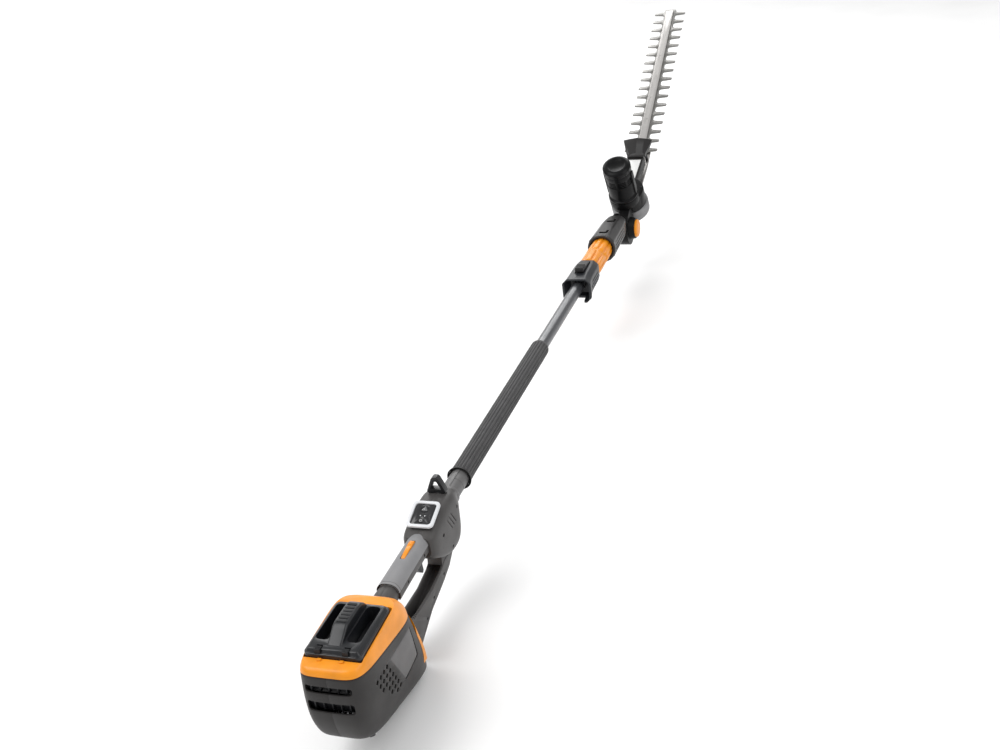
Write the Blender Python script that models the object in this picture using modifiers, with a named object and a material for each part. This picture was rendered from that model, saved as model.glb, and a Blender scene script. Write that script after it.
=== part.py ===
"""Battery pole hedge trimmer. Metres, +Z up, +Y forward along the tube, +X to the right.

The origin is on the tube's axis, in the middle of the rear grip.
"""
import math

import bmesh
import bpy
from mathutils import Matrix, Vector

# ---- driving dimensions -------------------------------------------------
GAP = 0.0003                 # clearance between neighbouring pieces
WALL = 0.0025                # moulded wall

TUBE_R = 0.013               # lower tube, outer
TUBE_WALL = 0.0015
TUBE_START = 0.150
TUBE_END = 1.070

SLEEVE_R = 0.018             # foam sleeve, outer
SLEEVE_RIM_R = 0.021
SLEEVE_START = 0.246
SLEEVE_END = 0.729
COLLAR_R = 0.0160            # collar between control block and sleeve

SPIGOT_R = 0.0165            # tube of the upper section
SOCKET_START = 0.985
SOCKET_END = 1.116
SOCKET_HALF = 0.028
NUT_START = 1.117
NUT_END = 1.245
NUT_R = 0.0255
SHAFT_HOUSING_START = 1.238
SHAFT_HOUSING_END = 1.392
SHAFT_HOUSING_HALF = 0.0295

HINGE_Y = 1.440              # head hinge, a lateral axis
HINGE_Z = -0.030
HEAD_TILT = math.radians(27.0)

MOTOR_Y = 0.056              # head frame: +Y along the blade, origin on the hinge
MOTOR_R = 0.0325
CRANK_Y = 0.086
CRANK_THROW = 0.008
BLADE_START = 0.262
BLADE_TIP = 0.790
TOOTH_PITCH = 0.032
TEETH = 16
BAR_HALF = 0.010             # centre bar over the blades
BLADE_HALF = 0.015           # solid part of a blade
TOOTH_REACH = 0.042          # centre line to tooth tip

GRIP_COVER_REAR = -0.066     # soft skin of the rear grip
GRIP_COVER_FRONT = 0.053

BATTERY_HALF = 0.0425
BATTERY_REAR = -0.252
BATTERY_FRONT = -0.140
BATTERY_TOP = 0.038
BATTERY_BOTTOM = -0.062
FOOT_Y = -0.200

DISPLAY_Y = 0.0980
DISPLAY_Z = 0.0310
DISPLAY_TILT = math.radians(17.0)
LOOP_Y = 0.1570              # harness loop over the control block
TRIGGER_PIVOT = (0.0, 0.0130, -0.0090)
LEVER_PIVOT = (0.0, 0.0080, 0.0105)
COUPLING_PIVOT = (0.0, 1.0720, 0.0235)

HEAD_X = 0.004               # blade and motor stand a little right of the tube
KNUCKLE_LEFT = -0.0033
KNUCKLE_RIGHT = 0.0205
BOSS_END = 0.0335
GEARBOX_Y = 0.080
GEARBOX_R = 0.043
CASE_SPLIT = 0.0062
BOLT_SPOTS = (0.320, 0.720)

COLOURS = {
    "dark_plastic": ((0.060, 0.057, 0.056, 1), 0.55, 0.0),
    "black_plastic": ((0.020, 0.020, 0.021, 1), 0.50, 0.0),
    "orange_plastic": ((0.900, 0.330, 0.030, 1), 0.42, 0.0),
    "grey_rubber": ((0.250, 0.250, 0.255, 1), 0.75, 0.0),
    "foam": ((0.045, 0.045, 0.048, 1), 0.90, 0.0),
    "graphite_metal": ((0.110, 0.112, 0.118, 1), 0.35, 0.7),
    "bright_steel": ((0.800, 0.790, 0.770, 1), 0.25, 1.0),
    "silver_plastic": ((0.740, 0.740, 0.730, 1), 0.35, 0.2),
    "light_metal": ((0.300, 0.300, 0.300, 1), 0.45, 0.6),
    "copper": ((0.720, 0.330, 0.150, 1), 0.40, 0.9),
    "white_label": ((0.820, 0.800, 0.780, 1), 0.60, 0.0),
    "cable": ((0.025, 0.025, 0.025, 1), 0.65, 0.0),
}


# ---- scene and helpers --------------------------------------------------
def clear_scene():
    for obj in list(bpy.data.objects):
        bpy.data.objects.remove(obj, do_unlink=True)


def collection(name):
    group = bpy.data.collections.new(name)
    bpy.context.scene.collection.children.link(group)
    return group


clear_scene()
PARTS = collection("pole_hedge_trimmer")
CUTTERS = collection("cutters")
HEAD = bpy.data.objects.new("head_hinge_frame", None)
PARTS.objects.link(HEAD)
HEAD.location = (0.0, HINGE_Y, HINGE_Z)
HEAD.rotation_euler = (HEAD_TILT, 0.0, 0.0)


def material(name):
    found = bpy.data.materials.get(name)
    if found:
        return found
    colour, roughness, metallic = COLOURS[name]
    made = bpy.data.materials.new(name)
    made.use_nodes = True
    shader = made.node_tree.nodes["Principled BSDF"]
    shader.inputs["Base Color"].default_value = colour
    shader.inputs["Roughness"].default_value = roughness
    shader.inputs["Metallic"].default_value = metallic
    return made


def place(name, mesh, look, origin=(0, 0, 0), parent=None, smooth=False):
    """Link a mesh as a named sub-part, or as a cutter when look is None."""
    obj = bpy.data.objects.new(name, mesh)
    if look is None:
        CUTTERS.objects.link(obj)
        obj.hide_render = True
        obj.display_type = "WIRE"
    else:
        PARTS.objects.link(obj)
        mesh.materials.append(material(look))
    obj.location = origin
    obj.parent = parent
    if smooth:
        mesh.shade_smooth()
        mesh.set_sharp_from_angle(angle=math.radians(35.0))
    return obj


def finish(bm, name):
    mesh = bpy.data.meshes.new(name)
    bm.to_mesh(mesh)
    bm.free()
    return mesh


def bevel(obj, width, segments=2, angle=40.0):
    mod = obj.modifiers.new("bevel", "BEVEL")
    mod.width = width
    mod.segments = segments
    mod.limit_method = "ANGLE"
    mod.angle_limit = math.radians(angle)
    return obj


def boolean(obj, cutter, operation="DIFFERENCE"):
    mod = obj.modifiers.new(cutter.name, "BOOLEAN")
    mod.operation = operation
    mod.object = cutter
    mod.solver = "EXACT"
    return obj


def box(name, look, low, high, edge=0.0, parent=None):
    """Box between two corners, its origin in its middle."""
    low = Vector(low)
    high = Vector(high)
    size = Vector([abs(b - a) for a, b in zip(low, high)])
    bm = bmesh.new()
    bmesh.ops.create_cube(bm, size=1.0)
    bmesh.ops.scale(bm, vec=size, verts=bm.verts)
    obj = place(name, finish(bm, name), look, (low + high) / 2, parent)
    return bevel(obj, edge) if edge else obj


def turn(axis):
    """Rotation that takes +Z onto the named axis."""
    if axis == "X":
        return Matrix.Rotation(math.pi / 2, 4, "Y")
    if axis == "Y":
        return Matrix.Rotation(-math.pi / 2, 4, "X")
    return Matrix.Identity(4)


def rod(name, look, radius, start, end, axis="Y", at=(0, 0, 0), sides=24, end_radius=None, parent=None):
    """Solid cylinder or cone from start to end along an axis through at."""
    bm = bmesh.new()
    top = radius if end_radius is None else end_radius
    bmesh.ops.create_cone(bm, cap_ends=True, segments=sides, radius1=radius, radius2=top, depth=end - start)
    bmesh.ops.transform(bm, matrix=turn(axis), verts=bm.verts)
    centre = Vector(at)
    centre["XYZ".index(axis)] = (start + end) / 2
    return place(name, finish(bm, name), look, centre, parent, smooth=True)


def turned(name, look, profile, axis="Y", at=(0, 0, 0), sides=28, parent=None):
    """Turned shape from (radius, height) points that run down the outer side."""
    bm = bmesh.new()
    verts = [bm.verts.new((radius, 0.0, height)) for radius, height in profile]
    for first, second in zip(verts, verts[1:]):
        bm.edges.new((first, second))
    if profile[0][0] > 0.0:
        bm.edges.new((verts[-1], verts[0]))
    obj = place(name, finish(bm, name), look, at, parent, smooth=True)
    obj.rotation_euler = turn(axis).to_euler()
    mod = obj.modifiers.new("screw", "SCREW")
    mod.steps = sides
    mod.render_steps = sides
    mod.use_merge_vertices = True
    mod.merge_threshold = 0.00001
    return obj


def pipe(name, look, outer, inner, start, end, axis="Y", at=(0, 0, 0), sides=24, parent=None):
    profile = [(outer, end), (outer, start), (inner, start), (inner, end)]
    return turned(name, look, profile, axis, at, sides, parent)


def loft(name, look, rings, parent=None, origin=(0, 0, 0), caps=(True, True), smooth=True):
    """Skin over rings of equal point count, given in order, with optional end caps."""
    bm = bmesh.new()
    rows = [[bm.verts.new(point) for point in ring] for ring in rings]
    count = len(rows[0])
    for lower, upper in zip(rows, rows[1:]):
        for i in range(count):
            j = (i + 1) % count
            bm.faces.new((lower[i], lower[j], upper[j], upper[i]))
    if caps[0]:
        bm.faces.new(list(reversed(rows[0])))
    if caps[1]:
        bm.faces.new(rows[-1])
    bmesh.ops.recalc_face_normals(bm, faces=bm.faces)
    return place(name, finish(bm, name), look, origin, parent, smooth)


def plate(name, look, outline, low, high, axis="Z", parent=None, origin=(0, 0, 0)):
    """Flat plate: an outline of (a, b) points drawn square to axis, low to high along it."""
    def point(a, b, level):
        if axis == "X":
            return (level, a, b)
        if axis == "Y":
            return (a, level, b)
        return (a, b, level)
    rings = [[point(a, b, level) for a, b in outline] for level in (low, high)]
    return loft(name, look, rings, parent, origin, smooth=False)


def circle(radius, centre=(0.0, 0.0), count=32, start=0.0, sweep=360.0):
    steps = count if sweep >= 360.0 else count - 1
    angles = [math.radians(start + sweep * i / steps) for i in range(count)]
    return [(centre[0] + radius * math.cos(a), centre[1] + radius * math.sin(a)) for a in angles]


def rounded(half_a, half_b, radius, centre=(0.0, 0.0), count=4):
    """Rectangle outline with round corners."""
    points = []
    for quarter, (side_a, side_b) in enumerate(((1, 1), (-1, 1), (-1, -1), (1, -1))):
        corner = (centre[0] + side_a * (half_a - radius), centre[1] + side_b * (half_b - radius))
        points += circle(radius, corner, count, 90.0 * quarter, 90.0)
    return points


def superellipse(half_a, half_b, power, count=28):
    """Closed outline between an ellipse (power 2) and a rectangle (high power)."""
    points = []
    for i in range(count):
        angle = 2 * math.pi * i / count
        c = math.cos(angle)
        s = math.sin(angle)
        a = math.copysign(abs(c) ** (2.0 / power), c) * half_a
        b = math.copysign(abs(s) ** (2.0 / power), s) * half_b
        points.append((a, b))
    return points


def y_section(y, half_width, low, high, power=2.6, count=24, grow=0.0):
    """Ring square to Y, grow makes it larger all round."""
    middle = (low + high) / 2
    outline = superellipse(half_width + grow, (high - low) / 2 + grow, power, count)
    return [(x, y, middle + z) for x, z in outline]


def half_space(name, side, span=3.0):
    """Cutter that takes away one side of the mid plane and half the parting gap."""
    if side > 0:
        return box(name, None, (-GAP / 2, -span, -span), (span, span, span))
    return box(name, None, (-span, -span, -span), (GAP / 2, span, span))


CUT_RIGHT = half_space("cut_right_side", 1)
CUT_LEFT = half_space("cut_left_side", -1)


def split(make, name, look):
    """Left and right halves of a shell that make(name, look) builds."""
    left = boolean(make(name + "_left", look), CUT_RIGHT)
    right = boolean(make(name + "_right", look), CUT_LEFT)
    return left, right


# ---- rear housing and battery -------------------------------------------
# (rear y, front y, half width, z at the rear, z at the front), top to bottom
HOUSING_LEVELS = [
    (-0.277, -0.090, 0.0500, 0.019, -0.010),
    (-0.281, -0.078, 0.0505, -0.020, -0.045),
    (-0.281, -0.062, 0.0490, -0.055, -0.090),
    (-0.272, -0.052, 0.0450, -0.085, -0.125),
    (-0.258, -0.047, 0.0390, -0.098, -0.142),
    (-0.240, -0.060, 0.0270, -0.103, -0.147),
]
BAY_POWER = 5.0


def level_ring(level, grow=0.0, lift=0.0, power=BAY_POWER, count=32):
    """Plan outline of the housing at one level, on a plane that slopes along Y."""
    rear, front, half, z_rear, z_front = level
    middle = (rear + front) / 2
    ring = []
    for x, y in superellipse(half + grow, (front - rear) / 2 + grow, power, count):
        share = (y + middle - rear) / (front - rear)
        ring.append((x, y + middle, z_rear + (z_front - z_rear) * share + lift))
    return ring


def rear_housing():
    def shell(name, look):
        rings = [level_ring(level) for level in HOUSING_LEVELS]
        outer = loft(name, look, rings)
        inner_rings = [level_ring(level, -WALL, 0.0) for level in HOUSING_LEVELS[:-1]]
        floor = level_ring(HOUSING_LEVELS[-1], -WALL, 0.004)
        roof = level_ring(HOUSING_LEVELS[0], -WALL, 0.010)
        cavity = loft(name + "_cavity", None, [roof] + inner_rings + [floor])
        boolean(outer, cavity)
        for row, height in enumerate((-0.010, -0.036)):
            slot = box(name + "_rear_slot_%d" % row, None,
                       (-0.036, -0.300, height - 0.0045), (0.036, -0.276, height + 0.0045))
            boolean(outer, slot)
        boolean(outer, rod(name + "_foot_hole", None, 0.0052, -0.125, -0.080, "Z", (0, FOOT_Y, 0), 20))
        boolean(outer, box(name + "_grip_passage", None, (-0.0215, -0.100, -0.030),
                (0.0215, -0.060, 0.022)))
        return outer
    split(shell, "rear_housing", "dark_plastic")


def battery_bezel():
    """Orange ring round the battery bay, closed in front where it meets the grip."""
    top = HOUSING_LEVELS[0]
    rings = [
        level_ring(top, 0.0, GAP),
        level_ring((-0.270, -0.093, 0.0480, 0.034, 0.007)),
        level_ring((-0.264, -0.120, 0.0462, 0.0375, 0.034)),
    ]
    ring = loft("battery_bezel", "orange_plastic", rings)
    well = box("battery_bezel_well", None, (-BATTERY_HALF - 0.0008, BATTERY_REAR - 0.0008, -0.030),
               (BATTERY_HALF + 0.0008, BATTERY_FRONT + 0.0008, 0.080), 0.0)
    boolean(ring, well)
    under = [level_ring(top, -WALL, -0.010), level_ring((-0.267, -0.098, 0.0450, 0.030, 0.000), -0.0005)]
    boolean(ring, loft("battery_bezel_under", None, under))
    boolean(ring, rod("battery_bezel_grip_hole", None, 0.0205, -0.130, -0.060, "Y", (0, 0, -0.003), 32))


def front_apron():
    """Orange facing on the front wall of the housing."""
    outer = loft("front_apron", "orange_plastic",
            [level_ring(level, 0.0024) for level in HOUSING_LEVELS[:-1]])
    boolean(outer, loft("front_apron_inner", None, [
        level_ring(level, 0.0004, lift) for level, lift in zip(HOUSING_LEVELS[:-1],
                (0.02, 0, 0, 0, -0.02))]))
    boolean(outer, box("front_apron_keep", None, (-0.0445, -0.088, -0.119), (0.0445, -0.030, -0.013)),
            "INTERSECT")
    boolean(outer, box("front_apron_grip_gap", None, (-0.0225, -0.100, -0.0295), (0.0225, -0.020, 0.050)))


def housing_foot():
    profile = [(0.0, -0.108), (0.005, -0.108), (0.005, -0.1195), (0.009, -0.121), (0.008, -0.128),
            (0.0, -0.128)]
    turned("housing_foot", "black_plastic", profile, "Z", (0, FOOT_Y, 0), 20)


def battery():
    """Pack with a raised handle bar between two finger recesses, and its cells."""
    low = (-BATTERY_HALF, BATTERY_REAR, BATTERY_BOTTOM)
    case = box("battery_case", "black_plastic", low, (BATTERY_HALF, BATTERY_FRONT, 0.012), 0.004)
    inside = box("battery_case_inside", None, (-BATTERY_HALF + WALL, BATTERY_REAR + WALL,
            BATTERY_BOTTOM + WALL),
                 (BATTERY_HALF - WALL, BATTERY_FRONT - WALL, 0.030))
    boolean(case, inside)
    for side in (-1, 1):
        groove = box("battery_case_rail_%d" % (side + 1), None, (side * 0.040, -0.300, -0.040),
                     (side * 0.050, -0.150, -0.034))
        boolean(case, groove)
    cover_low = (-BATTERY_HALF, BATTERY_REAR, 0.012 + GAP)
    cover = box("battery_cover", "black_plastic", cover_low, (BATTERY_HALF, BATTERY_FRONT, BATTERY_TOP),
            0.003)
    for side in (-1, 1):
        recess = box("battery_recess_%d" % (side + 1), None,
                     (side * 0.0235 - 0.0095, BATTERY_REAR + 0.026, 0.018),
                     (side * 0.0235 + 0.0095, BATTERY_FRONT - 0.010, 0.060), 0.003)
        boolean(cover, recess)
    boolean(cover, box("battery_latch_slot", None, (-0.0215, BATTERY_REAR - 0.005, 0.0272),
                       (0.0215, BATTERY_REAR + 0.0150, 0.060)))
    boolean(cover, box("battery_handle_bar", None, (-0.0105, BATTERY_REAR + 0.034, 0.030),
                       (0.0105, BATTERY_FRONT - 0.014, BATTERY_TOP + 0.006), 0.0025), "UNION")
    for step in range(5):
        y = BATTERY_REAR + 0.046 + 0.010 * step
        boolean(cover, box("handle_rib_%d" % step, None, (-0.02, y, BATTERY_TOP + 0.0050),
                           (0.02, y + 0.002, BATTERY_TOP + 0.02)))
    latch = box("battery_latch", "dark_plastic", (-0.0208, BATTERY_REAR + 0.0008, 0.0276),
                (0.0208, BATTERY_REAR + 0.0118, BATTERY_TOP + 0.0012), 0.0015)
    boolean(latch, box("battery_latch_groove", None, (-0.004, -0.3, BATTERY_TOP - 0.001),
            (0.004, -0.2, 0.060)))
    cells = box("battery_cells", "light_metal", (-0.038, BATTERY_REAR + 0.006, -0.057),
                (0.038, BATTERY_FRONT - 0.006, 0.009))
    for row in range(3):
        x = -0.019 + 0.019 * row
        boolean(cells, box("cell_gap_%d" % row, None, (x - 0.0008, -0.3, -0.050),
                (x + 0.0008, -0.1, 0.020)))
    for row in range(4):
        y = BATTERY_REAR + 0.006 + 0.020 * (row + 1)
        boolean(cells, box("cell_row_gap_%d" % row, None, (-0.05, y - 0.0007, -0.049),
                (0.05, y + 0.0009, 0.020)))


def electronics():
    box("terminal_block", "black_plastic", (-0.020, -0.137, -0.066), (0.020, -0.118, -0.030), 0.001)
    sink = box("controller_unit", "light_metal", (-0.030, -0.225, -0.092), (0.030, -0.130, -0.0740))
    boolean(sink, box("controller_board", None, (-0.034, -0.232, -0.0755), (0.034, -0.120, -0.0735)),
            "UNION")
    for fin in range(7):
        x = -0.0262 + 0.0080 * fin
        boolean(sink, box("sink_slot_%d" % fin, None, (x, -0.3, -0.1), (x + 0.0048, -0.1, -0.0790)))


# ---- rear grip, hand guard and control block ----------------------------
# (y, half width, low z, high z)
CORE_SECTIONS = [
    (-0.108, 0.0180, -0.0210, 0.0120),
    (-0.082, 0.0175, -0.0205, 0.0125),
    (-0.068, 0.0155, -0.0185, 0.0130),
    (0.000, 0.0150, -0.0185, 0.0135),
    (0.0535, 0.0150, -0.0195, 0.0130),
]
BLOCK_SECTIONS = [
    (0.0540, 0.0190, -0.0260, 0.0150),
    (0.0640, 0.0250, -0.0440, 0.0190),
    (0.0800, 0.0275, -0.0560, 0.0235),
    (0.1000, 0.0290, -0.0610, 0.0290),
    (0.1250, 0.0295, -0.0640, 0.0345),
    (0.1520, 0.0290, -0.0640, 0.0330),
    (0.1720, 0.0230, -0.0480, 0.0260),
    (0.1860, 0.0180, -0.0220, 0.0190),
]


def grip_core():
    def shell(name, look):
        outer = loft(name, look, [y_section(*s, power=2.4) for s in CORE_SECTIONS])
        hollow = [(y - 0.01 if i == 0 else y, hw, low, high) for i,
                (y, hw, low, high) in enumerate(CORE_SECTIONS)]
        hollow[-1] = (CORE_SECTIONS[-1][0] + 0.01,) + CORE_SECTIONS[-1][1:]
        boolean(outer, loft(name + "_hollow", None, [y_section(*s, power=2.4, grow=-WALL) for s in hollow]))
        boolean(outer, box(name + "_trigger_slot", None, (-0.0072, 0.008, -0.040),
                (0.0072, 0.0515, -0.010)))
        boolean(outer, box(name + "_lever_slot", None, (-0.0062, 0.0035, 0.004), (0.0062, 0.0505, 0.030)))
        return outer
    split(shell, "grip_core", "dark_plastic")


def grip_cover():
    """Soft light grey skin over the top and sides of the grip."""
    sections = [
        (GRIP_COVER_REAR, 0.0155, -0.0185, 0.0130),
        CORE_SECTIONS[3],
        (GRIP_COVER_FRONT, 0.0150, -0.0195, 0.0130),
    ]
    outer = loft("grip_cover", "grey_rubber", [y_section(*s, power=2.4, grow=0.0028) for s in sections])
    longer = [(sections[0][0] - 0.01,) + sections[0][1:], sections[1],
            (sections[2][0] + 0.01,) + sections[2][1:]]
    boolean(outer, loft("grip_cover_inner", None, [y_section(*s, power=2.4, grow=GAP) for s in longer]))
    boolean(outer, box("grip_cover_below", None, (-0.05, -0.2, -0.06), (0.05, 0.2, -0.0060)))
    boolean(outer, box("grip_cover_lever_slot", None, (-0.0062, 0.0035, 0.004), (0.0062, 0.0505, 0.040)))


def hand_guard():
    """Closed bow from under the control block back to the foot of the housing."""
    outer = [(0.151, -0.0655), (0.147, -0.074), (0.126, -0.088), (0.097, -0.097), (0.037, -0.110),
             (-0.012, -0.131), (-0.0420, -0.1440)]
    inner = [(-0.0420, -0.0700), (-0.012, -0.0760), (0.050, -0.0790), (0.092, -0.0730), (0.110, -0.0655)]
    bow = plate("hand_guard", "dark_plastic", outer + inner, -0.0135, 0.0135, "X")
    channel = [(0.120, -0.078), (0.095, -0.0885), (0.037, -0.1010), (-0.012, -0.1220), (-0.036, -0.1300),
               (-0.036, -0.060), (0.050, -0.060), (0.104, -0.060)]
    boolean(bow, plate("hand_guard_channel", None, channel, -0.0090, 0.0090, "X"))
    bevel(bow, 0.0015, 1)


def control_block():
    def shell(name, look):
        outer = loft(name, look, [y_section(*s, power=3.2) for s in BLOCK_SECTIONS])
        hollow = [list(s) for s in BLOCK_SECTIONS]
        hollow[0][0] -= 0.01
        hollow[-1][0] += 0.01
        boolean(outer, loft(name + "_hollow", None, [y_section(*s, power=3.2, grow=-WALL) for s in hollow]))
        boolean(outer, rotated_box(name + "_display_seat", None, (-0.0190, -0.0230, -0.020),
                (0.0190, 0.0230, 0.030)))
        boolean(outer, box(name + "_loop_slot_l", None, (-0.0125, 0.1510, 0.020), (-0.0070, 0.1632, 0.050)))
        boolean(outer, box(name + "_loop_slot_r", None, (0.0070, 0.1510, 0.020), (0.0125, 0.1632, 0.050)))
        return outer
    split(shell, "control_block", "dark_plastic")


def rotated_box(name, look, low, high, edge=0.0):
    """Box in the display's own frame, whose +Z is the display's normal."""
    obj = box(name, look, low, high, edge)
    tilt = Matrix.Rotation(DISPLAY_TILT, 4, "X")
    obj.location = Matrix.Translation((0, DISPLAY_Y, DISPLAY_Z)) @ tilt @ obj.location
    obj.rotation_euler = (DISPLAY_TILT, 0, 0)
    return obj


def display_plate(name, look, half_x, half_y, radius, low, high):
    obj = plate(name, look, rounded(half_x, half_y, radius), low, high)
    obj.location = (0, DISPLAY_Y, DISPLAY_Z)
    obj.rotation_euler = (DISPLAY_TILT, 0, 0)
    return obj


def display():
    bezel = display_plate("display_bezel", "silver_plastic", 0.0225, 0.0262, 0.008, 0.0012, 0.0052)
    boolean(bezel, display_plate("bezel_window", None, 0.0172, 0.0208, 0.005, -0.01, 0.02))
    bevel(bezel, 0.0010, 1)
    panel = display_plate("display_panel", "black_plastic", 0.0169, 0.0205, 0.0047, -0.0020, 0.0036)
    holes = (("power", 0.0, -0.0130, 0.0045), ("speed", 0.0, 0.0115, 0.0050))
    tilt = Matrix.Rotation(DISPLAY_TILT, 4, "X")
    for label, x, y, radius in holes:
        cutter = rod("panel_hole_" + label, None, radius + 0.0004, -0.02, 0.02, "Z", (0, 0, 0), 20)
        cutter.location = Vector((0, DISPLAY_Y, DISPLAY_Z)) + tilt.to_3x3() @ Vector((x, y, 0))
        cutter.rotation_euler = (DISPLAY_TILT, 0, 0)
        boolean(panel, cutter)
        button = rod(label + "_button", "black_plastic", radius, -0.0024, 0.0024, "Z", (0, 0, 0), 16)
        button.location = Vector((0, DISPLAY_Y, DISPLAY_Z)) + tilt.to_3x3() @ Vector((x, y, 0.0024))
        button.rotation_euler = (DISPLAY_TILT, 0, 0)


def harness_loop():
    """Triangular shoulder strap loop that stands on the control block."""
    outline = [(-0.0120, 0.0262), (-0.0075, 0.0262), (-0.0075, 0.0352), (0.0075, 0.0352), (0.0075, 0.0262),
               (0.0120, 0.0262), (0.0120, 0.0352), (0.0150, 0.0362), (0.0120, 0.0430), (0.0050,
               0.0620), (0.0020, 0.0650),
               (-0.0020, 0.0650), (-0.0050, 0.0620), (-0.0120, 0.0430), (-0.0150, 0.0362), (-0.0120,
               0.0352)]
    loop = plate("harness_loop", "black_plastic", outline, LOOP_Y - 0.0055, LOOP_Y + 0.0055, "Y")
    hole = [(-0.0075, 0.0405), (0.0075, 0.0405), (0.0020, 0.0570), (-0.0020, 0.0570)]
    boolean(loop, plate("harness_loop_hole", None, hole, LOOP_Y - 0.05, LOOP_Y + 0.05, "Y"))
    bevel(loop, 0.0012, 1)


def trigger_group():
    """Trigger under the grip, lock-out lever on top of it, the switch and springs between."""
    profile = [(-0.0035, 0.0025), (0.0035, 0.0030), (0.0360, -0.0010), (0.0365, -0.0100), (0.0330, -0.0200),
               (0.0340, -0.0320), (0.0300, -0.0345), (0.0240, -0.0270), (0.0120, -0.0170), (-0.0020,
               -0.0130)]
    trigger = plate("trigger", "black_plastic", profile, -0.0060, 0.0060, "X", origin=TRIGGER_PIVOT)
    boolean(trigger, rod("trigger_bore", None, 0.0019, -0.02, 0.02, "X", TRIGGER_PIVOT, 16))
    boolean(trigger, rod("trigger_spring_pocket", None, 0.0032, -0.0150, 0.0, "Z", (0, 0.0350, 0), 16))
    bevel(trigger, 0.0010, 1, 50)
    rod("trigger_pin", "bright_steel", 0.0016, -0.0100, 0.0100, "X", TRIGGER_PIVOT, 12)
    lever = [(-0.0025, -0.0030), (0.0030, -0.0032), (0.0335, -0.0032), (0.0335, -0.0058), (0.0380, -0.0058),
             (0.0400, 0.0070), (0.0370, 0.0098), (0.0250, 0.0102), (0.0060, 0.0070), (-0.0025, 0.0045)]
    lock = plate("lock_out_lever", "orange_plastic", lever, -0.0055, 0.0055, "X", origin=LEVER_PIVOT)
    bevel(lock, 0.0010, 1, 50)
    switch = box("main_switch", "black_plastic", (-0.0058, 0.0170, -0.0025), (0.0058, 0.0400, 0.0022),
            0.0006)
    boolean(switch, box("switch_lead_slot", None, (-0.0015, 0.010, 0.0010), (0.0015, 0.040, 0.0040)))
    coil("trigger_spring", (0.0, 0.0350, 0.0), 0.0022, 0.0005, -0.0147, -0.0030, 4)


def coil(name, at, radius, wire, low, high, turns, per_turn=8, parent=None, axis="Z"):
    """Compression spring, its wire swept along a helix."""
    curve = bpy.data.curves.new(name, "CURVE")
    curve.dimensions = "3D"
    curve.bevel_depth = wire
    curve.bevel_resolution = 1
    curve.use_fill_caps = True
    count = turns * per_turn + 1
    line = curve.splines.new("POLY")
    line.points.add(count - 1)
    for i in range(count):
        angle = 2 * math.pi * i / per_turn
        height = low + wire + (high - low - 2 * wire) * i / (count - 1)
        line.points[i].co = (radius * math.cos(angle), radius * math.sin(angle), height, 1.0)
    obj = bpy.data.objects.new(name, curve)
    PARTS.objects.link(obj)
    curve.materials.append(material("bright_steel"))
    obj.location = at
    obj.rotation_euler = turn(axis).to_euler()
    obj.parent = parent
    return obj


# ---- tube, sleeve and coupling ------------------------------------------
def wiring_loom():
    """Cable from the controller through the grip and the whole tube to the coupling contacts."""
    route = [(0.0, -0.1150, -0.0690), (0.0, -0.1145, -0.0500), (0.0, -0.1140, -0.0250),
            (0.0, -0.1120, -0.0100),
             (0.0, -0.1050, -0.0030), (0.0, -0.0900, 0.0), (0.0, -0.0250, 0.0010), (0.0060, 0.0000, 0.0020),
             (0.0082, 0.0120, 0.0025), (0.0082, 0.0440, 0.0025), (0.0060, 0.0560, 0.0020), (0.0, 0.0900,
             0.0),
             (0.0, 0.1300, 0.0), (0.0, 0.4000, 0.0), (0.0, 0.7000, 0.0), (0.0, 1.0480, 0.0)]
    curve = bpy.data.curves.new("wiring_loom", "CURVE")
    curve.dimensions = "3D"
    curve.bevel_depth = 0.0020
    curve.bevel_resolution = 2
    curve.use_fill_caps = True
    line = curve.splines.new("POLY")
    line.points.add(len(route) - 1)
    for point, place_at in zip(line.points, route):
        point.co = (*place_at, 1.0)
    obj = bpy.data.objects.new("wiring_loom", curve)
    PARTS.objects.link(obj)
    curve.materials.append(material("cable"))


def tube_group():
    pipe("lower_tube", "graphite_metal", TUBE_R, TUBE_R - TUBE_WALL, TUBE_START, TUBE_END)
    bore = TUBE_R + GAP
    collar = [(COLLAR_R - 0.001, SLEEVE_START + 0.020), (COLLAR_R - 0.0005, SLEEVE_START),
            (COLLAR_R, 0.200),
              (0.0185, 0.1965), (0.0185, 0.1866), (bore, 0.1866), (bore, SLEEVE_START + 0.020)]
    turned("neck_collar", "dark_plastic", collar, sides=24)
    sleeve = [(SLEEVE_R - 0.0012, SLEEVE_END), (SLEEVE_R, SLEEVE_END - 0.004),
            (SLEEVE_R, SLEEVE_START + 0.035),
              (SLEEVE_RIM_R - 0.0008, SLEEVE_START + 0.012), (SLEEVE_RIM_R, SLEEVE_START),
              (0.0188, SLEEVE_START), (0.0178, SLEEVE_START + 0.024), (bore, SLEEVE_START + 0.028),
              (bore, SLEEVE_END)]
    turned("foam_sleeve", "foam", sleeve, sides=24)


def octagon(half, low, high, chamfer):
    """Flat-sided outline, half wide, from low to high."""
    return [(half, low + chamfer), (half, high - chamfer), (half - chamfer, high), (-half + chamfer, high),
            (-half, high - chamfer), (-half, low + chamfer), (-half + chamfer, low), (half - chamfer, low)]


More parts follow.
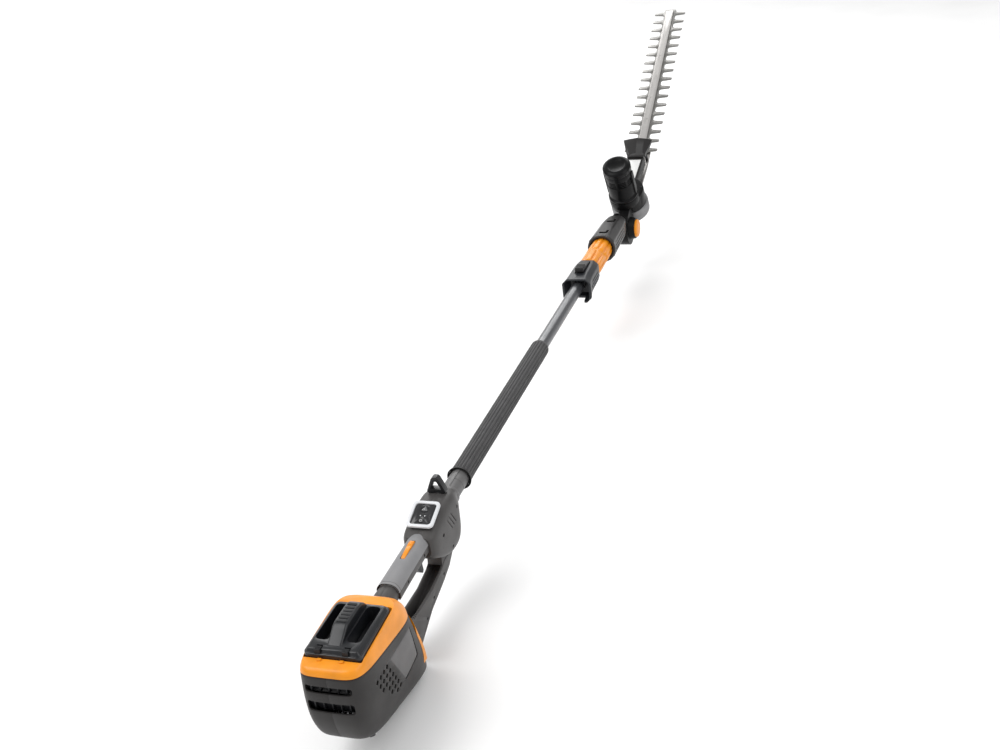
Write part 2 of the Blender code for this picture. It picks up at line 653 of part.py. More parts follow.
def coupling():
    """Socket clamped on the lower tube, with a mouth that flares into two wings."""
    def ring(y, half, low, high, chamfer):
        return [(x, y, z) for x, z in octagon(half, low, high, chamfer)]
    rings = [
        ring(SOCKET_START, SOCKET_HALF + 0.001, -0.030, 0.021, 0.012),
        ring(SOCKET_START + 0.032, SOCKET_HALF - 0.001, -0.028, 0.0235, 0.011),
        ring(SOCKET_START + 0.105, SOCKET_HALF - 0.002, -0.0265, 0.0250, 0.010),
        ring(SOCKET_END, SOCKET_HALF - 0.004, -0.0245, 0.0230, 0.010),
    ]
    socket = bevel(loft("coupling_socket", "dark_plastic", rings, smooth=False), 0.0012, 1, 35)
    boolean(socket, rod("socket_tube_bore", None, TUBE_R + GAP, 0.9, 1.0708, "Y"))
    boolean(socket, rod("socket_spigot_bore", None, SPIGOT_R + GAP, 1.0700, 1.2, "Y"))
    mouth = [(-0.0200, 0.018), (-0.0200, -0.012), (-0.0140, -0.040), (0.0140, -0.040), (0.0200, -0.012),
             (0.0200, 0.018)]
    boolean(socket, plate("socket_mouth", None, mouth, 0.90, SOCKET_START + 0.024, "Y"))
    boolean(socket, box("socket_latch_pocket", None, (-0.0098, 1.0400, 0.0185), (0.0098, 1.1060, 0.060)))
    boolean(socket, box("socket_nose_hole", None, (-0.0098, 1.0925, 0.0120), (0.0098, 1.1025, 0.030)))


def coupling_latch():
    """Rocking thumb latch with grip ribs; its nose drops into the upper tube."""
    side = [(-0.0290, 0.0010), (-0.0290, 0.0090), (-0.0240, 0.0110), (-0.0220, 0.0080), (-0.0200, 0.0110),
            (-0.0180, 0.0080), (-0.0160, 0.0112), (-0.0140, 0.0082), (-0.0120, 0.0112), (-0.0100, 0.0082),
            (-0.0080, 0.0105), (0.0100, 0.0060), (0.0320, 0.0040), (0.0320, -0.0030), (0.0290, -0.0035),
            (0.0280, -0.0058), (0.0230, -0.0058), (0.0220, -0.0030), (0.0040, -0.0030), (0.0, -0.0020),
            (-0.0040, -0.0005)]
    latch = plate("coupling_latch", "black_plastic", side, -0.0092, 0.0092, "X", origin=COUPLING_PIVOT)
    boolean(latch, rod("latch_bore", None, 0.0017, -0.03, 0.03, "X",
                       (0, COUPLING_PIVOT[1], COUPLING_PIVOT[2] + 0.0028), 14))


# ---- upper section ------------------------------------------------------
def twist_nut():
    """Fluted clamping nut with a narrow waist between its two grips."""
    length = NUT_END - NUT_START
    stations = [(0.0, 0.92), (0.03, 0.98), (0.40, 1.0), (0.455, 0.93), (0.485, 0.93), (0.54, 1.0),
            (0.96, 0.97),
                (1.0, 0.91)]
    flutes = 12
    count = 36
    rings = []
    for share, scale in stations:
        deep = 0.0015 if scale > 0.95 else 0.0003
        ring = []
        for i in range(count):
            angle = 2 * math.pi * i / count
            radius = NUT_R * scale - deep * (1 - math.cos(flutes * angle)) / 2
            ring.append((radius * math.cos(angle), length * share, radius * math.sin(angle)))
        rings.append(ring)
    nut = loft("twist_nut", "orange_plastic", rings, origin=(0, NUT_START, 0))
    boolean(nut, rod("nut_bore", None, SPIGOT_R + GAP, 1.0, 1.3, "Y"))


def upper_section():
    pipe("upper_tube", "graphite_metal", SPIGOT_R, SPIGOT_R - 0.002, 1.0720, 1.3600)
    flare = SHAFT_HOUSING_HALF

    def ring(y, half, chamfer=0.0125):
        return [(x, y, z) for x, z in octagon(half, -half, half, chamfer)]

    rings = [
        ring(SHAFT_HOUSING_START, flare + 0.0005),
        ring(SHAFT_HOUSING_START + 0.008, flare),
        ring(SHAFT_HOUSING_START + 0.110, flare - 0.0020),
        ring(SHAFT_HOUSING_END - 0.018, flare - 0.0045),
        ring(SHAFT_HOUSING_END, flare - 0.0080, 0.009),
    ]
    housing = bevel(loft("shaft_housing", "light_metal", rings, smooth=False), 0.0010, 1, 35)
    boolean(housing, rod("housing_rim", None, 0.0310, SHAFT_HOUSING_START - 0.0030,
            SHAFT_HOUSING_START + 0.0020,
                         "Y", sides=36, end_radius=0.0325), "UNION")
    boolean(housing, rod("shaft_housing_bore", None, SPIGOT_R + GAP, 1.2, 1.3610, "Y"))
    boolean(housing, rod("shaft_housing_mouth", None, NUT_R + 0.0006, 1.2, NUT_END + 0.0010, "Y", sides=36))
    for index, y in enumerate((SHAFT_HOUSING_START + 0.022, SHAFT_HOUSING_END - 0.032)):
        boolean(housing, box("top_slot_%d" % index, None, (-0.0110, y, 0.0215),
                (0.0110, y + 0.0040, 0.060)))
        boolean(housing, box("top_slot_leg_%d" % index, None, (0.0075, y - 0.0080, 0.0215),
                             (0.0110, y + 0.0010, 0.060)))


def pivot_cheek():
    """Fixed half of the head hinge, on the left, with a foot under the upper housing."""
    outline = circle(0.0360, (HINGE_Y, HINGE_Z), 18, -95.0, 190.0)
    outline += [(1.4100, 0.0100), (SHAFT_HOUSING_END + 0.0003, 0.0100),
            (SHAFT_HOUSING_END + 0.0003, -0.0280)]
    cheek = bevel(plate("pivot_cheek", "dark_plastic", outline, -0.0210, -0.0060, "X"), 0.0020, 1, 60)
    boolean(cheek, rod("cheek_bore", None, 0.0063, -0.05, 0.05, "X", (0, HINGE_Y, HINGE_Z), 20))
    profile = [(0.0, 0.0262), (0.0058, 0.0262), (0.0058, -0.0215), (0.0100, -0.0215), (0.0100, -0.0245),
            (0.0, -0.0245)]
    turned("hinge_pin", "bright_steel", profile, "X", (0, HINGE_Y, HINGE_Z), 24)
    detent_plate()


def detent_plate():
    """Toothed disc beside the cheek that sets the head's steps."""
    teeth = 18
    outline = []
    for i in range(teeth * 2):
        angle = math.pi * i / teeth
        radius = 0.0300 if i % 2 else 0.0272
        outline.append((HINGE_Y + radius * math.cos(angle), HINGE_Z + radius * math.sin(angle)))
    disc = plate("detent_plate", "light_metal", outline, -0.0057, -0.0036, "X")
    boolean(disc, rod("detent_bore", None, 0.0063, -0.05, 0.05, "X", (0, HINGE_Y, HINGE_Z), 24))


# ---- head (all in the head frame) ---------------------------------------


def pivot_knuckle():
    """Moving half of the hinge with the boss that carries the lock button."""
    outline = circle(0.0400, (0, 0), 24, 90.0, 270.0) + [(0.0400, 0.0409), (0.0, 0.0409)]
    knuckle = plate("pivot_knuckle", "black_plastic", outline, KNUCKLE_LEFT, KNUCKLE_RIGHT, "X", HEAD)
    bevel(knuckle, 0.0015, 1)
    boss = rod("knuckle_boss", None, 0.0285, KNUCKLE_RIGHT - 0.002, BOSS_END, "X", (0, 0, 0), 26,
            0.0245, HEAD)
    boolean(knuckle, boss, "UNION")
    boolean(knuckle, rod("knuckle_bore", None, 0.0063, -0.01, 0.0285, "X", (0, 0, 0), 24, None, HEAD))
    boolean(knuckle, rod("spring_pocket", None, 0.0145, 0.0268, 0.0302, "X", (0, 0, 0), 24, None, HEAD))
    boolean(knuckle, rod("button_recess", None, 0.0220, 0.0300, 0.0400, "X", (0, 0, 0), 28, None, HEAD))
    button = [(0.0, 0.0400), (0.0190, 0.0400), (0.0213, 0.0380), (0.0213, 0.0333), (0.0, 0.0333)]
    turned("head_lock_button", "orange_plastic", button, "X", (0, 0, 0), 28, HEAD)
    coil("lock_spring", (0, 0, 0), 0.0105, 0.0004, 0.0271, 0.0300, 2, 24, HEAD, "X")


def gearbox():
    """Upper and lower gear cases, cut clear of the hinge behind them."""
    centre = (HEAD_X, GEARBOX_Y)
    upper = plate("gearbox_upper", "dark_plastic", circle(GEARBOX_R, centre, 32), CASE_SPLIT + GAP, 0.0520,
                  parent=HEAD)
    bevel(upper, 0.0030, 1, 60)
    saddle = rod("gearbox_saddle", None, 0.0362, 0.0412, 0.0602, "Z", (HEAD_X, MOTOR_Y, 0), 30, None, HEAD)
    boolean(upper, saddle, "UNION")
    cavity = [(x, max(y, 0.0430)) for x, y in circle(GEARBOX_R - 0.0045, centre, 26)]
    boolean(upper, plate("gearbox_upper_cavity", None, cavity, -0.01, 0.0400, parent=HEAD))
    boolean(upper, rod("gearbox_bearing_seat", None, 0.0113, 0.03, 0.07, "Z", (HEAD_X, MOTOR_Y, 0), 20,
            None, HEAD))
    hinge_space = box("gearbox_hinge_space", None, (-0.060, -0.060, -0.060), (0.060, 0.0403, 0.0412),
            0.0, HEAD)
    boolean(upper, hinge_space)
    front_slot = box("gearbox_front_slot", None, (HEAD_X - 0.0106, 0.090, -0.0098),
            (HEAD_X + 0.0106, 0.140, 0.0068),
                     0.0, HEAD)
    boolean(upper, front_slot)
    lower = plate("gearbox_lower", "light_metal", circle(0.0460, (HEAD_X, 0.0845), 32), -0.0280, CASE_SPLIT,
                  parent=HEAD)
    bevel(lower, 0.0050, 2, 60)
    cavity = [(x, max(y, 0.0430)) for x, y in circle(0.0420, (HEAD_X, 0.0845), 26)]
    boolean(lower, plate("gearbox_lower_cavity", None, cavity, -0.0240, 0.0200, parent=HEAD))
    boolean(lower, hinge_space)
    boolean(lower, front_slot)


def motor():
    at = (HEAD_X, MOTOR_Y, 0)
    r = MOTOR_R
    shell = [(r - 0.003, 0.1450), (r, 0.1450), (r, 0.0680), (0.0358, 0.0660), (0.0358, 0.0606),
            (0.0240, 0.0606),
             (0.0240, 0.0640), (r - 0.003, 0.0640)]
    housing = turned("motor_housing", "black_plastic", shell[1:] + shell[:1], "Z", at, 28, HEAD)
    for index in range(4):
        angle = math.radians(45.0 + 90.0 * index)
        for level in range(2):
            slot = box("motor_vent_%d_%d" % (index, level), None, (-0.010, -0.0070, -0.0017),
                    (0.010, 0.0070, 0.0017),
                       0.0, HEAD)
            reach = r - 0.002
            slot.location = (at[0] + reach * math.cos(angle), at[1] + reach * math.sin(angle),
                             0.1160 + 0.0070 * level)
            slot.rotation_euler = (0, 0, angle)
            boolean(housing, slot)
    cap = [(0.0, 0.1592), (0.0195, 0.1592), (0.0205, 0.1605), (0.0275, 0.1605), (r + 0.0008, 0.1560),
           (r + 0.0008, 0.1453), (r - 0.0022, 0.1453), (r - 0.0022, 0.1540), (0.0, 0.1540)]
    turned("motor_cap", "black_plastic", cap, "Z", at, 28, HEAD)
    pipe("stator", "copper", 0.0287, 0.0165, 0.0800, 0.1240, "Z", at, 24, HEAD)
    profile = [(0.0, 0.1500), (0.0040, 0.1500), (0.0040, 0.1260), (0.0158, 0.1240), (0.0158, 0.0820),
               (0.0040, 0.0800), (0.0040, 0.0740), (0.0225, 0.0738), (0.0225, 0.0672), (0.0040, 0.0650),
               (0.0040, 0.0300), (0.0, 0.0300)]
    rotor = turned("rotor", "light_metal", profile, "Z", at, 20, HEAD)
    pinion = plate("pinion", None, gear_outline(0.0074, 0.0012, 8), 0.0190, 0.0305, "Z", HEAD)
    pinion.location = at
    boolean(rotor, pinion, "UNION")
    pipe("motor_bearing", "bright_steel", 0.0110, 0.0043, 0.0520, 0.0598, "Z", at, 20, HEAD)


def gear_outline(tip, depth, teeth, phase=0.0):
    """Gear outline with flat-topped teeth."""
    outline = []
    for i in range(teeth):
        for share, radius in ((0.0, tip - depth), (0.25, tip - depth), (0.40, tip), (0.85, tip)):
            angle = 2 * math.pi * (i + share) / teeth + phase
            outline.append((radius * math.cos(angle), radius * math.sin(angle)))
    return outline


def crank():
    """Crank gear with its shaft and the two opposed eccentrics."""
    at = (HEAD_X, CRANK_Y, 0)
    wheel = plate("crank_gear", "light_metal", gear_outline(0.0224, 0.0012, 24), 0.0200, 0.0280, "Z",
            HEAD, at)
    boolean(wheel, rod("crank_shaft", None, 0.0045, -0.0180, 0.0360, "Z", at, 20, None, HEAD), "UNION")
    for side, low, high in ((1, -0.0011, 0.0013), (-1, -0.0037, -0.0013)):
        disc = rod("eccentric_%d" % (side + 1), None, 0.0080, low, high, "Z",
                (at[0] + side * CRANK_THROW, at[1], 0),
                   24, None, HEAD)
        boolean(wheel, disc, "UNION")
    for index in range(4):
        angle = math.pi * (index + 0.5) / 2
        spot = (at[0] + 0.0135 * math.cos(angle), at[1] + 0.0135 * math.sin(angle), 0)
        boolean(wheel, rod("crank_hole_%d" % index, None, 0.0036, 0.01, 0.05, "Z", spot, 12, None, HEAD))


def blade_outline():
    """Double-sided blade: a strip with blunt teeth, those on the right further forward."""
    def side(direction, shift):
        edge = [(direction * 0.0088, 0.1130), (direction * 0.0088, BLADE_START - 0.006),
                (direction * BLADE_HALF, BLADE_START)]
        for i in range(TEETH):
            y = BLADE_START + 0.002 + shift + TOOTH_PITCH * i
            edge += [(direction * BLADE_HALF, y), (direction * TOOTH_REACH, y + 0.0068),
                     (direction * TOOTH_REACH, y + 0.0132), (direction * BLADE_HALF, y + 0.0200)]
        edge.append((direction * BLADE_HALF, BLADE_TIP - 0.012))
        edge.append((direction * 0.0060, BLADE_TIP))
        return [(x + HEAD_X, y) for x, y in edge]
    return side(1, 0.0045) + side(-1, 0.0)[::-1]


def blades():
    for name, low, high in (("upper_blade", -0.0010, 0.0012), ("lower_blade", -0.0036, -0.0014)):
        blade = plate(name, "bright_steel", blade_outline(), low, high, "Z", HEAD)
        ring = plate(name + "_ring", None, circle(0.0295, (HEAD_X, CRANK_Y), 26), low, high, "Z", HEAD)
        boolean(blade, ring, "UNION")
        boolean(blade, rod(name + "_yoke", None, 0.0248, -0.01, 0.01, "Z", (HEAD_X, CRANK_Y, 0), 22,
                None, HEAD))
        for index, y in enumerate(BOLT_SPOTS):
            slot = box("%s_slot_%d" % (name, index), None, (HEAD_X - 0.0030, y - 0.0120, -0.01),
                       (HEAD_X + 0.0030, y + 0.0120, 0.01), 0.0, HEAD)
            boolean(blade, slot)
    bar = box("blade_bar", "bright_steel", (HEAD_X - BAR_HALF, 0.1230, 0.0016),
              (HEAD_X + BAR_HALF, BLADE_TIP - 0.006, 0.0060), 0.0008, HEAD)
    profile = [(0.0, 0.0048), (0.0025, 0.0048), (0.0025, -0.0040), (0.0056, -0.0040), (0.0056, -0.0074),
               (0.0048, -0.0082), (0.0, -0.0082)]
    for index, y in enumerate(BOLT_SPOTS):
        spot = (HEAD_X, y, 0)
        boolean(bar, rod("bar_bolt_hole_%d" % index, None, 0.0028, 0.0, 0.0051, "Z", spot, 16, None, HEAD))
        turned("blade_bolt_%d" % (index + 1), "bright_steel", profile, "Z", spot, 16, HEAD)


def root_plate():
    """Steel strip under the blade roots, from the gear case to past the guard."""
    outline = [(-0.0200, 0.1312), (0.0200, 0.1312), (0.0250, 0.2100), (0.0250, 0.2660), (0.0200, 0.2720),
               (-0.0200, 0.2720), (-0.0250, 0.2660), (-0.0250, 0.2100)]
    bar = plate("blade_root_plate", "bright_steel", [(x + HEAD_X, y) for x, y in outline], -0.0086,
            -0.0046, "Z",
                HEAD)
    bevel(bar, 0.0006, 1)
    for side in (-1, 1):
        spot = (HEAD_X + side * 0.0190, 0.2350, 0)
        boolean(bar, rod("root_bolt_hole_%d" % (side + 1), None, 0.0034, -0.02, 0.02, "Z", spot, 16,
                None, HEAD))
        profile = [(0.0, 0.0074), (0.0030, 0.0074), (0.0030, -0.0090), (0.0054, -0.0090), (0.0054, -0.0122),
                   (0.0, -0.0122)]
        turned("root_bolt_%s" % ("left" if side < 0 else "right"), "black_plastic", profile, "Z", spot,
                16, HEAD)


def guard_section(y, half_top, half_foot, low, high, peak):
    points = [(-half_foot, low), (half_foot, low), (half_top, high), (0.0, peak), (-half_top, high)]
    return [(HEAD_X + x, y, z) for x, z in points]


def blade_guard():
    """Flared guard in front of the head, open below and in front, and the neck behind it."""
    guard = loft("blade_guard", "dark_plastic", [
        guard_section(0.2060, 0.0215, 0.0230, 0.0080, 0.0340, 0.0360),
        guard_section(0.2580, 0.0370, 0.0385, 0.0080, 0.0440, 0.0490)], HEAD, smooth=False)
    boolean(guard, loft("blade_guard_hollow", None, [
        guard_section(0.2090, 0.0195, 0.0205, -0.02, 0.0310, 0.0330),
        guard_section(0.2700, 0.0378, 0.0395, -0.02, 0.0430, 0.0480)], HEAD, smooth=False))
    boolean(guard, box("blade_guard_notch", None, (HEAD_X - 0.0105, 0.190, -0.02),
            (HEAD_X + 0.0105, 0.230, 0.0090),
                       0.0, HEAD))
    neck = loft("guard_neck", None, [
        guard_section(0.1265, 0.0150, 0.0170, 0.0080, 0.0290, 0.0292),
        guard_section(0.2075, 0.0200, 0.0225, 0.0080, 0.0290, 0.0292)], HEAD, smooth=False)
    boolean(guard, neck, "UNION")
    boolean(guard, loft("guard_neck_hollow", None, [
        guard_section(0.1290, 0.0120, 0.0140, -0.02, 0.0260, 0.0262),
        guard_section(0.2200, 0.0170, 0.0195, -0.02, 0.0260, 0.0262)], HEAD, smooth=False))
    bevel(guard, 0.0008, 1)
    outline = [(-0.0095, 0.1350), (0.0095, 0.1350), (0.0150, 0.2000), (-0.0150, 0.2000)]
    plate("label_plate", "white_label", [(HEAD_X + x, y) for x, y in outline], 0.0296, 0.0303, "Z", HEAD)


def build():
    rear_housing()
    battery_bezel()
    front_apron()
    housing_foot()
    battery()
    electronics()
    grip_core()
    grip_cover()
    hand_guard()
    control_block()
    display()
    harness_loop()
    trigger_group()
    wiring_loom()
    tube_group()
    coupling()
    coupling_latch()
    twist_nut()
    upper_section()
    pivot_cheek()
    pivot_knuckle()
    gearbox()
    motor()
    crank()
    blades()
    root_plate()
    blade_guard()


build()
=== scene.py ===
"""Looks for the pole hedge trimmer: finishes, detailed outer pieces, floor, lights and camera."""

import math

import bmesh
import bpy
import numpy as np
from mathutils import Matrix, Vector
from mathutils.noise import noise as noise_at


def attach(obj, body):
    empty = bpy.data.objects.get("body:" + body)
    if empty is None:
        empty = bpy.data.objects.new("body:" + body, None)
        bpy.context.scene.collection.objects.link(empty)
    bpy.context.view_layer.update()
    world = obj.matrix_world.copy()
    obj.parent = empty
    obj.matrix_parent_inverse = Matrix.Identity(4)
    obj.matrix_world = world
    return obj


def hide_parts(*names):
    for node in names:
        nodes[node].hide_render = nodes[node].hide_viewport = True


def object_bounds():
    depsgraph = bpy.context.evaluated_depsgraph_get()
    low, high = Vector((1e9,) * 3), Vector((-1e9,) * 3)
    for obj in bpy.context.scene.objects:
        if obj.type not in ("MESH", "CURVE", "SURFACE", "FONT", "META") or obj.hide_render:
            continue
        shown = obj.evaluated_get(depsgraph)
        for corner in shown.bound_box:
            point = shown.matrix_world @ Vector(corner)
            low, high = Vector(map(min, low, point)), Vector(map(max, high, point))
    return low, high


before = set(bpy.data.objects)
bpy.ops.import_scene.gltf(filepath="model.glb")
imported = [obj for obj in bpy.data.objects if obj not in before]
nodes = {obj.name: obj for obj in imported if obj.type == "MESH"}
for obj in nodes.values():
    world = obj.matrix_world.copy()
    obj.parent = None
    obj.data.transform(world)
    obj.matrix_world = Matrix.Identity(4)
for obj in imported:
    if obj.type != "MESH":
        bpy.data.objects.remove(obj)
cad_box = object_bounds()

SMOOTH_ANGLE = math.radians(34)
TILT = math.radians(27)
HINGE = Vector((0.0, 1.44, -0.03))
HEAD_TURN = Matrix.Rotation(TILT, 4, "X")
HEAD_PLACE = Matrix.Translation(HINGE) @ HEAD_TURN
HEAD_X = 0.004
SIDES = ((-1, "left"), (1, "right"))
# Each moulded half stops this far from the middle plane.
HALF_GAP = 0.00012


# Finishes ---------------------------------------------------------------------------------


class Graph:
    """Adds and joins the nodes of one material."""

    def __init__(self, name):
        self.material = bpy.data.materials.new(name)
        self.material.use_nodes = True
        self.tree = self.material.node_tree
        self.shader = self.tree.nodes["Principled BSDF"]
        self.place = self.add("ShaderNodeTexCoord").outputs["Object"]

    def add(self, kind, **settings):
        node = self.tree.nodes.new(kind)
        for name, value in settings.items():
            setattr(node, name, value)
        return node

    def join(self, source, target):
        self.tree.links.new(source, target)

    def stretched(self, scale, turn=(0, 0, 0)):
        mapping = self.add("ShaderNodeMapping")
        mapping.inputs["Scale"].default_value = scale
        mapping.inputs["Rotation"].default_value = turn
        self.join(self.place, mapping.inputs["Vector"])
        return mapping.outputs["Vector"]

    def noise(self, scale, detail=3.0, vector=None, rough=0.5, warp=0.0):
        node = self.add("ShaderNodeTexNoise")
        node.inputs["Scale"].default_value = scale
        node.inputs["Detail"].default_value = detail
        node.inputs["Roughness"].default_value = rough
        node.inputs["Distortion"].default_value = warp
        self.join(vector or self.place, node.inputs["Vector"])
        return node.outputs["Fac"]

    def cells(self, scale, feature="F1", vector=None):
        node = self.add("ShaderNodeTexVoronoi", feature=feature)
        node.inputs["Scale"].default_value = scale
        self.join(vector or self.place, node.inputs["Vector"])
        return node.outputs["Distance"]

    def spread(self, source, low, high, new_low=0.0, new_high=1.0):
        node = self.add("ShaderNodeMapRange")
        names = ("From Min", "From Max", "To Min", "To Max")
        for name, value in zip(names, (low, high, new_low, new_high)):
            node.inputs[name].default_value = value
        self.join(source, node.inputs["Value"])
        return node.outputs["Result"]

    def patches(self, scale, detail, low, high, new_low=0.0, new_high=1.0, warp=0.0):
        """Noise stretched from one range to another."""
        return self.spread(self.noise(scale, detail, warp=warp), low, high, new_low, new_high)

    def sum(self, first, second, operation="ADD"):
        node = self.add("ShaderNodeMath", operation=operation)
        self.join(first, node.inputs[0])
        if isinstance(second, float):
            node.inputs[1].default_value = second
        else:
            self.join(second, node.inputs[1])
        return node.outputs[0]

    def mix(self, amount, first, second):
        node = self.add("ShaderNodeMix", data_type="RGBA")
        self.join(amount, node.inputs["Factor"])
        for socket, value in ((node.inputs[6], first), (node.inputs[7], second)):
            if isinstance(value, tuple):
                socket.default_value = (*value, 1.0)
            else:
                self.join(value, socket)
        return node.outputs[2]

    def bump(self, height, strength, distance, under=None):
        node = self.add("ShaderNodeBump")
        node.inputs["Strength"].default_value = strength
        node.inputs["Distance"].default_value = distance
        self.join(height, node.inputs["Height"])
        if under is not None:
            self.join(under, node.inputs["Normal"])
        return node.outputs["Normal"]

    def finish(self, colour, roughness, normal, metallic=0.0, **fixed):
        self.join(colour, self.shader.inputs["Base Color"])
        self.join(roughness, self.shader.inputs["Roughness"])
        self.join(normal, self.shader.inputs["Normal"])
        self.shader.inputs["Metallic"].default_value = metallic
        for name, value in fixed.items():
            self.shader.inputs[name.replace("_", " ")].default_value = value
        return self.material


def shade(colour, factor):
    return tuple(min(1.0, c * factor) for c in colour)


def lifted(colour, share, lift):
    return tuple(c * share + lift for c in colour)


def moulded(name, colour, roughness, grain=0.35, wear=0.16, gloss=0.0, shine=0.3):
    """Moulded plastic: fine spark-eroded grain, slow mottling, faint rub marks."""
    g = Graph(name)
    body = g.mix(g.patches(26, 4, 0.35, 0.65), shade(colour, 0.9), shade(colour, 1.09))
    lines = g.noise(1.0, 3, g.stretched((520, 26, 310), (0.3, 0.2, 0.5)), 0.6, 0.3)
    rubbed_spots = g.patches(11, 3, 0.5, 0.68)
    rubbed = g.sum(g.spread(lines, 0.6, 0.74, 0.0, wear), rubbed_spots, "MULTIPLY")
    paint = g.mix(rubbed, body, lifted(colour, 0.6, 0.16))
    blotches = g.patches(17, 5, 0.3, 0.7, roughness - 0.06, roughness + 0.07, warp=0.4)
    rough = g.sum(blotches, g.spread(rubbed, 0.0, 1.0, 0.0, 0.25))
    fine = g.bump(g.noise(1350, 2), grain, 0.00012)
    wavy = g.bump(g.noise(75, 2), 0.1, 0.0004, fine)
    coat = {"Coat_Weight": gloss, "Coat_Roughness": 0.2}
    return g.finish(paint, rough, wavy, Specular_IOR_Level=shine, **coat)


def rubber(name, colour, roughness=0.72):
    """Soft moulded rubber: matt, pebbled, slightly dusty in its hollows."""
    g = Graph(name)
    dusty = g.patches(34, 5, 0.42, 0.72, 0.0, 0.5, warp=0.6)
    paint = g.mix(dusty, shade(colour, 0.93), lifted(colour, 0.8, 0.07))
    rough = g.patches(22, 4, 0.3, 0.7, roughness - 0.07, roughness + 0.08)
    pebbles = g.bump(g.cells(620, "SMOOTH_F1"), 0.42, 0.00022)
    return g.finish(paint, rough, pebbles, Sheen_Weight=0.12, Sheen_Roughness=0.5)


def foam_skin(name, colour):
    """Closed-cell foam: open pores at the skin, uneven tone, no gloss."""
    g = Graph(name)
    pores = g.cells(980)
    tone = g.patches(60, 6, 0.32, 0.7, warp=0.5)
    worn = g.mix(tone, shade(colour, 0.72), shade(colour, 1.35))
    holes = g.spread(pores, 0.0, 0.28, 0.75, 0.0)
    paint = g.mix(holes, worn, shade(colour, 0.35))
    rough = g.patches(40, 3, 0.3, 0.7, 0.82, 0.97)
    skin = g.bump(pores, 0.55, 0.00035)
    soft = g.bump(g.noise(210, 4), 0.35, 0.0006, skin)
    return g.finish(paint, rough, soft, Sheen_Weight=0.22, Sheen_Roughness=0.6)


def brushed(name, colour, roughness, turn=(0, 0, 0), stain=0.25, scale=(1500, 16, 1500)):
    """Ground metal: hairline grain along the turned Y axis and dulled patches."""
    g = Graph(name)
    grain = g.noise(1.0, 3, g.stretched(scale, turn), 0.65)
    tarnish = g.patches(21, 5, 0.45, 0.75, 0.0, stain, warp=0.8)
    toned = g.mix(g.spread(grain, 0.3, 0.7), shade(colour, 0.86), shade(colour, 1.06))
    paint = g.mix(tarnish, toned, shade(colour, 0.58))
    ground = g.spread(grain, 0.3, 0.7, roughness - 0.06, roughness + 0.08)
    rough = g.sum(ground, g.spread(tarnish, 0.0, 1.0, 0.0, 0.35))
    normal = g.bump(grain, 0.22, 0.00006)
    return g.finish(paint, rough, normal, metallic=1.0)


def painted_tube(name, colour, roughness=0.3):
    """A drawn tube under a hard graphite coat: long draw marks, tiny flakes, light scratches."""
    g = Graph(name)
    drawn = g.noise(1.0, 3, g.stretched((900, 5, 900)), 0.6)
    flakes = g.spread(g.cells(1700), 0.0, 0.16, 1.0, 0.0)
    body = g.mix(g.spread(drawn, 0.35, 0.65), shade(colour, 0.85), shade(colour, 1.2))
    sparkle = g.mix(g.sum(flakes, 0.35, "MULTIPLY"), body, lifted(colour, 1.6, 0.06))
    rings = g.noise(1.0, 3, g.stretched((60, 700, 60)), 0.6, 0.4)
    slide = g.spread(rings, 0.66, 0.78, 0.0, 0.4)
    paint = g.mix(slide, sparkle, lifted(colour, 0.6, 0.13))
    rough = g.patches(30, 5, 0.3, 0.7, roughness - 0.05, roughness + 0.09)
    normal = g.bump(drawn, 0.12, 0.00008)
    return g.finish(paint, rough, normal, metallic=0.35, Coat_Weight=0.35, Coat_Roughness=0.22)


def cast_metal(name, colour, roughness):
    """Die-cast or stamped metal with a blasted, lightly stained skin."""
    g = Graph(name)
    blast = g.noise(1100, 3)
    stains = g.patches(26, 5, 0.42, 0.74, 0.0, 0.45, warp=0.7)
    toned = g.mix(g.spread(blast, 0.3, 0.7), shade(colour, 0.9), shade(colour, 1.08))
    paint = g.mix(stains, toned, shade(colour, 0.62))
    rough = g.spread(stains, 0.0, 0.45, roughness, roughness + 0.2)
    return g.finish(paint, rough, g.bump(blast, 0.3, 0.0001), metallic=1.0)


# Own tone of the housing plastic, set a little darker as painted shade for the housing's rear face.
DARK = (0.0245, 0.0225, 0.022)
BLACK = (0.01, 0.0105, 0.012)
ORANGE = (0.8, 0.275, 0.01)
GRIP = (0.215, 0.215, 0.222)

FINISHES = {
    "dark_plastic": moulded("dark_plastic_look", DARK, 0.46),
    "black_plastic": moulded("black_plastic_look", BLACK, 0.4, wear=0.1),
    "orange_plastic": moulded("orange_plastic_look", ORANGE, 0.36, grain=0.2, wear=0.1, gloss=0.15),
    "grey_rubber": rubber("grey_rubber_look", GRIP),
    "foam": foam_skin("foam_look", (0.019, 0.018, 0.019)),
    "graphite_tube": painted_tube("graphite_tube_look", (0.06, 0.062, 0.068)),
    "shaft_housing_plastic": moulded("shaft_housing_look", (0.125, 0.122, 0.122), 0.42),
    # Own tone of the inner metal parts, darkened as painted shade: they sit in shade inside the
    # housing and show through its slots.
    "light_metal": cast_metal("light_metal_painted_shade_look", (0.34, 0.34, 0.35), 0.4),
    "cell_pack": moulded("cell_pack_look", (0.03, 0.085, 0.13), 0.38),
    "silver_plastic": moulded(
        "silver_plastic_look", (0.66, 0.67, 0.69), 0.3, grain=0.15, gloss=0.3
    ),
    "bright_steel": brushed("bright_steel_look", (0.86, 0.85, 0.83), 0.24, (-TILT, 0, 0)),
    "black_steel": cast_metal("black_steel_look", (0.06, 0.06, 0.064), 0.42),
    "winding_copper": brushed("winding_copper_look", (0.74, 0.31, 0.14), 0.3, scale=(60, 1400, 60)),
    "label_film": moulded("label_film_look", (0.8, 0.8, 0.79), 0.3, grain=0.1, wear=0.08),
    "cable_jacket": rubber("cable_jacket_look", (0.02, 0.02, 0.022), 0.55),
}


def dress_frame():
    """Gives every carried-over part the detailed finish of its own slot."""
    for node in nodes.values():
        for index, old in enumerate(node.data.materials):
            slot = old.name.split(".")[0]
            if slot in FINISHES:
                node.data.materials[index] = FINISHES[slot]


